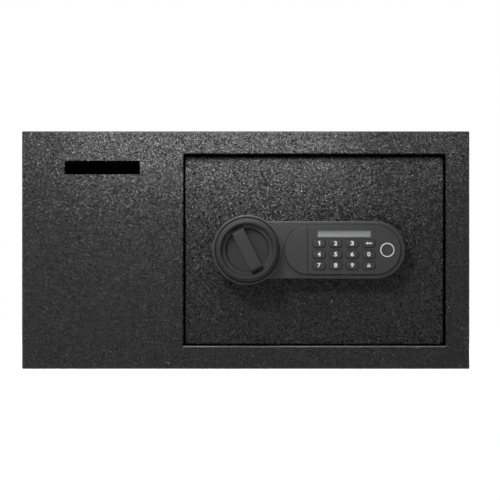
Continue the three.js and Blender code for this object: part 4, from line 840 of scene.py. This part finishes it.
# %% Knob
KNOB_BASE = BOSS_FRONT + RECESS_DEPTH - 0.4
KNOB_TOP = KNOB_BASE - 17.6
LEDGE, FLOOR = KNOB_TOP + 6.5, KNOB_TOP + 10.5
FLOOR_ROUND, LEDGE_ROUND, KNOB_WALL, HUB_RADIUS = 0.6, 0.5, 2.5, 8.5
TILT = math.radians(26.6)
knob_rows = [(20.0, FLOOR)]
knob_rows += [(20.0 + FLOOR_ROUND - inset, FLOOR - depth) for depth, inset in quarter(FLOOR_ROUND, 3)[1:]]
knob_rows += [(22.0 + inset, LEDGE + depth) for inset, depth in quarter(LEDGE_ROUND, 3)]
knob_rows += [(24.2, LEDGE), (24.6, LEDGE - 0.15), (24.8, LEDGE - 0.5)]
knob_rows += [(27.8 - i * 0.5, KNOB_TOP + d) for d, i in quarter(0.5, 5)[::-1]]
knob_rows += round_front(29, KNOB_TOP, 0.9, 8)
knob_rows += [(31.5, BOSS_FRONT - 1.5), (31.8, BOSS_FRONT - 0.6), (31.9, BOSS_FRONT + 0.4),
              (31.9, KNOB_BASE - 0.3), (31.6, KNOB_BASE), (29.7, KNOB_BASE), (26.8, LEDGE + KNOB_WALL),
              (23.1, LEDGE + KNOB_WALL), (23.1, FLOOR + KNOB_WALL), (HUB_RADIUS, FLOOR + KNOB_WALL),
              (HUB_RADIUS, KNOB_BASE)]
knob = skin("knob_dish", turned(knob_rows, steps=160))

BAR_HALF, BAR_ROUND, BAR_RADIUS = 6.4, 1.1, 24.7
BAR_TOP, BAR_FOOT = KNOB_TOP + 0.8, FLOOR + 1.2
left = [(-BAR_HALF, BAR_FOOT)] + [(inset - BAR_HALF, BAR_TOP + depth)
                                  for inset, depth in quarter(BAR_ROUND, 5)]
section = np.array(left + [(-x, y) for x, y in left[::-1]])

# The bar's rings run along its length: full in the middle, and lower where its ends slope down.
stations = np.array([-25.0, -24.6, -20.6, -19.0, -16.0, 16.0, 19.0, 20.6, 24.6, 25.0])
sink = np.interp(np.abs(stations), [19.0, 20.6, 24.6, 25.0], [0.0, 0.35, 5.7, 7.0])
depth = np.maximum(section[None, :, 1], BAR_TOP + sink[:, None])
depth[:, [0, -1]] = BAR_FOOT
bar = np.stack([np.broadcast_to(section[None, :, 0], depth.shape), depth,
                np.broadcast_to(stations[:, None], depth.shape)], axis=-1)
keep = skin("keep", cylinder(BAR_RADIUS, KNOB_TOP - 1, BAR_FOOT, steps=160))
fuse(knob, common(skin("grip", bar[:, ::-1]), keep))
cut(knob, skin("bore", cylinder(4.3, KNOB_BASE - 11.3, KNOB_BASE + 1, steps=32)))
knob.data.transform(Matrix.Translation(np.array([lock_x, 0, lock_z]) * MM) @ Matrix.Rotation(-TILT, 4, "Y"))
settle(knob, "turning_knob", "lock_plastic", "knob")

# %% [markdown]
# Behind the door's plate a plastic cover hides the lock work. It is one moulded tray with rounded back
# edges, holes for the two bolts and the reset button, and an opening for the batteries. Its four screws
# sit in round sinks.

# %% Inner cover
COVER_WALL, COVER_RADIUS = 2.5, 6.0
SEAT = 0.3
PEG_RADIUS = 0.6
RESET_HOLE = 3.8
SCREW_INSET, SCREW_RADIUS, SINK_RADIUS = 11.0, 3.3, 3.7
CROSS_LONG, CROSS_SHORT = 2.0, 0.4
TRAY_FLANGE = 3.0
cover_low, cover_high = node_box("inner_cover")
tray_low, tray_high = node_box("battery_tray")
lid_low, lid_high = node_box("battery_lid")
reset_x, _, reset_z = node_middle("reset_button")
COVER_FRONT, COVER_BACK = cover_low[1], cover_high[1]
COVER_FLOOR = COVER_BACK - COVER_WALL
PEG_Y, PEG_Z = COVER_BACK - COVER_WALL / 2, lid_low[2] + COVER_WALL / 2
cover_box = front_box(cover_low, cover_high)
tray_box = front_box(tray_low, tray_high, -TRAY_FLANGE)
screw_places = [(x, z) for x in (cover_box[0] + SCREW_INSET, cover_box[1] - SCREW_INSET)
                for z in (cover_box[2] + SCREW_INSET, cover_box[3] - SCREW_INSET)]

cover = plate("inner_cover_shell", outline_in(cover_box, 0, COVER_RADIUS, 10), COVER_FRONT, COVER_BACK,
              0, 2.0, 8)
lid_mouth = ([COVER_BACK, 0] - quarter(EDGE, 4))[::-1]
lid_rows = np.vstack([[[COVER_FLOOR - 1, 0]], lid_mouth, [[COVER_BACK + 1, -EDGE]]])
cover_cuts = [
    plate("hollow", outline_in(cover_box, -COVER_WALL, COVER_RADIUS - COVER_WALL), COVER_FRONT - 1,
          COVER_FLOOR, 0, 1.0),
    skin("lid opening", carried(outline_in(tray_box, 0, 0.6, 4), lid_rows)),
    skin("peg hole", along_x(cylinder(PEG_RADIUS + SEAT, lid_low[0] - SEAT, lid_high[0] + SEAT, steps=20),
                             0, PEG_Y, PEG_Z)),
    skin("reset hole", turned([[RESET_HOLE, COVER_FLOOR - 1], [RESET_HOLE, COVER_BACK - 0.3],
                               [RESET_HOLE + 0.4, COVER_BACK + 0.1], [RESET_HOLE + 0.4, COVER_BACK + 1]],
                              reset_x, reset_z, 48))]
bolt_hole = cylinder(STRIKE_RADIUS, -3, 3, steps=64)
cover_cuts += [skin("bolt hole", along_x(bolt_hole, cover_box[0] + 1, BOLT_Y, z)) for z in BOLT_PLACES]
sink = [[SINK_RADIUS, COVER_BACK - 1.3], [SINK_RADIUS, COVER_BACK - 0.3],
        [SINK_RADIUS + 0.3, COVER_BACK], [SINK_RADIUS + 0.3, COVER_BACK + 1]]
cover_cuts += [skin("screw sink", turned(sink, x, z, 40)) for x, z in screw_places]
cut(cover, *cover_cuts)
settle(cover, "door", "cover_plastic", "inner_cover")

for number, (x, z) in enumerate(screw_places, 1):
    head = dome(SCREW_RADIUS, COVER_BACK - 0.1, -0.7, 0.1, 6) + [(SCREW_RADIUS, COVER_BACK - 1.25)]
    screw = skin(f"cover_screw_{number}", turned(head[::-1], x, z, 40))
    cut(screw, *[plate("cross", rectangle(x - w, x + w, z - h, z + h), COVER_BACK - 0.9, COVER_BACK + 1)
                 for w, h in ((CROSS_LONG, CROSS_SHORT), (CROSS_SHORT, CROSS_LONG))])
    settle(screw, "door", "bright_steel")

# %% [markdown]
# The battery lid swings on two small pegs at its lower edge. A round dip and three ribs at its upper edge
# give the finger a hold. Behind it lie four cells in a tray, each the other way round from the next.

# %% Battery lid, tray and cells
DIP_RADIUS, DIP_DEPTH = 8.0, 1.1
lid_box = (lid_low[0] + 2, lid_high[0] - 2, lid_low[2], lid_high[2])
lid_x = (lid_box[0] + lid_box[1]) / 2
lid = plate("battery_lid_panel", outline_in(lid_box, 0, 0.6, 4), COVER_FLOOR, COVER_BACK, 0, 0.4, 4)
fuse(lid, skin("peg", along_x(turned([[0.45, lid_low[0]], [PEG_RADIUS, lid_low[0] + 0.2],
                                      [PEG_RADIUS, lid_high[0] - 0.2], [0.45, lid_high[0]]], steps=20),
                              0, PEG_Y, PEG_Z)))
dip = dome(DIP_RADIUS, COVER_BACK - DIP_DEPTH, DIP_DEPTH, 0.08, 9) + [(DIP_RADIUS, COVER_BACK + 1)]
cut(lid, skin("dip", turned(dip, lid_x, lid_box[3] - 11, 56)))
fuse(lid, *[plate("rib", stadium(lid_x - 4.5, lid_x + 4.5, lid_box[3] - 21 - 2.6 * step, 0.7, 8),
                  COVER_BACK - 0.5, COVER_BACK + 0.5, 0, 0.35, 4) for step in range(3)])
settle(lid, "battery_door", "cover_plastic", "battery_lid")

TRAY_WALL = 1.5
TRAY_BACK = tray_high[1]
TRAY_FLOOR, TRAY_RIM = tray_low[1] + TRAY_WALL, TRAY_BACK - 0.5
tray = plate("battery_tray_shell", outline_in(tray_box, 0, 0.8, 4), tray_low[1], TRAY_RIM, 0.6, 0, 4)
fuse(tray, plate("flange", outline_in(tray_box, TRAY_FLANGE, 1.0, 4), TRAY_BACK - TRAY_WALL, TRAY_BACK))
cut(tray, plate("well", outline_in(tray_box, -TRAY_WALL, 0.6, 4), TRAY_FLOOR, TRAY_BACK + 1, 0.5, 0, 4),
    plate("mouth", rectangle(*tray_box), TRAY_RIM, TRAY_BACK + 1))
cell_places = [node_middle(f"battery_{number}") for number in range(1, 5)]
between = [(low[2] + high[2]) / 2 for low, high in zip(cell_places, cell_places[1:])]
fuse(tray, *[plate("ridge", rectangle(tray_box[0] + 1, tray_box[1] - 1, z - 0.9, z + 0.9),
                   TRAY_FLOOR - 0.5, TRAY_FLOOR + 2.0, 0, 0.3, 3) for z in between])
settle(tray, "door", "cover_plastic", "battery_tray")

CELL_RADIUS, CELL_LENGTH, NUB_RADIUS, NUB_LENGTH = 7.25, 49.0, 2.7, 1.5
CONTACT, CONTACT_HALF = 0.3, 4.5
flat_end = -(CELL_LENGTH + NUB_LENGTH) / 2
shoulder = flat_end + CELL_LENGTH
sleeve_rows = [(6.1, flat_end), *round_front(CELL_RADIUS, flat_end, 0.7, 4),
               *round_back(CELL_RADIUS, shoulder, 0.9, 4), (5.9, shoulder - 0.15)]
cap_rows = [(5.6, shoulder - 0.5), (5.6, shoulder + 0.1), (NUB_RADIUS, shoulder + 0.15),
            *round_back(NUB_RADIUS, shoulder + NUB_LENGTH, 0.5, 4)]
base_rows = [(5.8, flat_end - 0.05), (5.8, flat_end + 0.5)]
for number, (x, y, z) in enumerate(cell_places, 1):
    way = 1 if number % 2 == 0 else -1
    for name, rows, steps, slot, nodes in (
            ("", sleeve_rows, 56, "battery", [f"battery_{number}"]),
            ("_cap", cap_rows, 40, "bright_steel", []), ("_base", base_rows, 40, "bright_steel", [])):
        grid = turned((np.array(rows) * [1, way])[::way], steps=steps)
        settle(skin(f"cell_{number}{name}", along_x(grid, x, y, z)), "door", slot, *nodes)
    for side, wall, inward in (("left", tray_box[0] + TRAY_WALL, 1), ("right", tray_box[1] - TRAY_WALL, -1)):
        span = sorted((wall, wall + inward * CONTACT))
        settle(plate(f"contact_{number}_{side}", rectangle(*span, z - CONTACT_HALF, z + CONTACT_HALF),
                     TRAY_FLOOR, TRAY_BACK - 3.0), "door", "bright_steel")

# %% [markdown]
# The reset button has a domed top. The two bolts are turned steel bars with rounded noses, slotted at the
# root for the carriage that pulls them. The hinge pins have eased ends.

# %% Reset button, bolts and hinge pins
RESET_RADIUS, RESET_FLANGE = 3.5, 5.0
BOLT_RADIUS, NOSE, PIN_ROUND = 8.0, 1.6, 0.6
button_low, button_high = node_box("reset_button")
foot = button_low[1] + 1.3
button_rows = [(RESET_FLANGE, button_low[1]), (RESET_FLANGE, foot), (RESET_RADIUS, foot),
               (RESET_RADIUS, button_high[1] - 0.6)]
button_rows += dome(RESET_RADIUS * 0.9, button_high[1], -0.25, 0.1, 6)[::-1]
settle(skin("reset_cap", turned(button_rows, reset_x, reset_z, 48)), "reset", "red_plastic", "reset_button")

bolt_low, bolt_high = node_box("bolt_upper")
carriage_low, carriage_high = node_box("bolt_carriage")
for end, z in zip(("upper", "lower"), BOLT_PLACES):
    rows = [(2.0, bolt_low[0]), *round_front(BOLT_RADIUS, bolt_low[0], NOSE, 6),
            (BOLT_RADIUS, bolt_high[0] - 0.5), (BOLT_RADIUS - 0.5, bolt_high[0])]
    bolt = skin(f"round_bolt_{end}", along_x(turned(rows, steps=72), 0, BOLT_Y, z))
    cut(bolt, plate("slot", rectangle(carriage_low[0] - SEAT, bolt_high[0] + 1, z - 10, z + 10),
                    carriage_low[1] - SEAT, carriage_high[1] + SEAT))
    settle(bolt, "bolt_work", "bright_steel", f"bolt_{end}")

for end in ("upper", "lower"):
    low, high = node_box(f"hinge_pin_{end}")
    x, y = (low[:2] + high[:2]) / 2
    radius = (high[0] - low[0]) / 2
    rows = round_front(radius, low[2], PIN_ROUND, 4) + round_back(radius, high[2], PIN_ROUND, 4)
    settle(skin(f"round_pin_{end}", along_z(turned(rows, steps=40), x, y, 0)), "door", "body_paint",
           f"hinge_pin_{end}")

# %% [markdown]
# Under the keyhole cap sits the emergency lock: a steel body with a rolled flange, and a brass plug with a
# keyway. The plug's cam turns behind the door.

# %% Emergency lock
LOCK_RADIUS, PLUG_RADIUS, FLANGE_DEPTH = 7.0, 5.0, 1.2
KEYWAY_DEPTH, CAM_THICKNESS, CAM_HALF_WIDTH = 12, 2.5, 3.5
lock_low, lock_high = node_box("emergency_lock_body")
plug_low, plug_high = node_box("emergency_lock_plug")
key_x = (lock_low[0] + lock_high[0]) / 2
flange_radius = (lock_high[0] - lock_low[0]) / 2
lock_front, lock_back = lock_low[1], lock_high[1]
rows = [(PLUG_RADIUS + SEAT, lock_back), (PLUG_RADIUS + SEAT, lock_front + 0.3),
        (PLUG_RADIUS + SEAT + 0.3, lock_front), *round_front(flange_radius, lock_front, 0.6, 5),
        (flange_radius, lock_front + FLANGE_DEPTH), (LOCK_RADIUS, lock_front + FLANGE_DEPTH),
        (LOCK_RADIUS, lock_back)]
settle(skin("lock_barrel", turned(rows, key_x, lock_z, 72), loop=True), "door", "bright_steel",
       "emergency_lock_body")

rows = [(PLUG_RADIUS - 0.4, plug_low[1]), (PLUG_RADIUS, plug_low[1] + 0.4), (PLUG_RADIUS, plug_high[1])]
plug = skin("lock_plug", turned(rows, key_x, lock_z, 56))
keyway = rectangle(key_x - 0.8, key_x + 0.8, lock_z - 3.5, lock_z + 3.5)
cut(plug, plate("keyway", keyway, plug_low[1] - 1, plug_low[1] + KEYWAY_DEPTH))
cam = joined(arc(key_x, lock_z, CAM_HALF_WIDTH, 0, 180, 24),
             arc(key_x, plug_low[2] + CAM_HALF_WIDTH, CAM_HALF_WIDTH, 180, 360, 24))
fuse(plug, plate("cam", cam, plug_high[1] - CAM_THICKNESS, plug_high[1], 0.3, 0.3, 3))
settle(plug, "emergency_plug", "brass", "emergency_lock_plug")

# %% [markdown]
# A felt mat lies on the floor inside, with a round hole over each anchor hole. It is cut from 3 mm needle
# felt, so its edges are soft, and its face is all short fibres.

# %% Felt mat
MAT_HOLE = 7.0
mat_low, mat_high = node_box("floor_mat")
mat_box = (mat_low[0], mat_high[0], mat_low[1], mat_high[1])
mat_grid = carried(outline_in(mat_box, 0, 2.0, 6), edged(mat_low[2], mat_high[2], 0.5, 1.2, 6))
mat = skin("felt_mat", along_z(mat_grid, 0, 0, 0))
cut(mat, *[skin("mat hole", along_z(cylinder(MAT_HOLE, -5, 5, steps=40), x, y, 4.0))
           for x, y in BASE_ANCHORS])
settle(mat, "safe_body", "felt", "floor_mat")

# %% [markdown]
# To the camera and in reflections the world and the floor are white, as in the photograph; near the safe
# the floor is a little darker. Two lamps with narrow beams stand close above the front, so the glitter of
# the paint fades downwards. A lamp from the upper left throws the shadows of the lock, two panels light
# the sides and two the back. The world itself gives hardly any light.

# %% Stage and light
WORLD_LEVEL = 0.03
FLOOR_NEAR, FLOOR_FAR, FLOOR_GLOW = 0.35, 1.3, 0.85
STAGE_REACH = 3000.0
AIM = (0, FRONT_Y, 120)
STRIP_X, STRIP_Z, STRIP_GAP, STRIP_HEIGHT, STRIP_SPREAD = -35, 286, 55, 30, 60
STRIPS = ((280, 0.225), (520, 0.185))
PANEL_POWERS, BACK_POWER, PANEL_SIZE = (2.6, 0.8), 6.0, (700, 700)


def seen_rays(tree):
    """1 for camera, glossy and transmission rays, which show a surface, and 0 for rays that light."""
    path = add(tree, "ShaderNodeLightPath").outputs
    return math_node(tree, "MAXIMUM", path["Is Camera Ray"],
                     math_node(tree, "MAXIMUM", path["Is Glossy Ray"], path["Is Transmission Ray"]))


world = bpy.data.worlds.new("studio")
world.use_nodes = True
bpy.context.scene.world = world
tree = world.node_tree
tree.nodes.clear()
level = ranged(tree, seen_rays(tree), ("To Min", WORLD_LEVEL), ("To Max", 1.0))
background = add(tree, "ShaderNodeBackground", [("Color", (1, 1, 1, 1)), ("Strength", level)])
add(tree, "ShaderNodeOutputWorld", [("Surface", background.outputs[0])])

floor_look, tree, shader = new_look("pale_floor", grey(0.86), 0.9, Specular_IOR_Level=0.1,
                                    Emission_Color=(1, 1, 1, 1))
# The floor's glow is weaker near the safe: a painted shade round its foot, on top of the real shadow there.
away = vector_node(tree, "LENGTH", (0, object_place(tree)), output="Value")
glow_with_painted_shade = ranged(tree, away, ("From Min", FLOOR_NEAR), ("From Max", FLOOR_FAR), ("To Min", FLOOR_GLOW),
              ("To Max", 1.0))
glow = math_node(tree, "MULTIPLY", seen_rays(tree), glow_with_painted_shade)
tree.links.new(glow, shader.inputs["Emission Strength"])
floor = skin("floor", carried(rectangle(-STAGE_REACH, STAGE_REACH, -60.0, 0.0),
                              [[-STAGE_REACH, 0], [STAGE_REACH, 0]]))
floor.data.materials.append(floor_look)


def area_light(name, place, aim, size, power, spread=180):
    """A rectangular lamp that faces the aim; power in watts, and the width of its beam in degrees."""
    lamp = bpy.data.lights.new(name, "AREA")
    lamp.shape, lamp.size, lamp.size_y, lamp.energy = "RECTANGLE", size[0] * MM, size[1] * MM, power
    lamp.spread = math.radians(spread)
    holder = bpy.data.objects.new(name, lamp)
    place, aim = np.array(place, float) * MM, np.array(aim, float) * MM
    holder.location = place
    holder.rotation_euler = Vector(aim - place).to_track_quat("-Z", "Y").to_euler()
    holder.visible_camera = False
    bpy.context.scene.collection.objects.link(holder)


for width, power in STRIPS:
    area_light(f"strip_{width}", (STRIP_X, FRONT_Y - STRIP_GAP, STRIP_Z), (STRIP_X, FRONT_Y, 215),
               (width, STRIP_HEIGHT), power, STRIP_SPREAD)
area_light("upper_left", (-420, -900, 880), AIM, (220, 220), 8.5)
for side, power in zip((-1, 1), PANEL_POWERS):
    area_light(f"panel_{side}", (side * 1300, FRONT_Y - 420, 250), AIM, PANEL_SIZE, power)
    area_light(f"back_panel_{side}", (side * 900, 1300, 700), (0, BACK_Y, 120), PANEL_SIZE, BACK_POWER)
print("lamps:", len(bpy.data.lights))
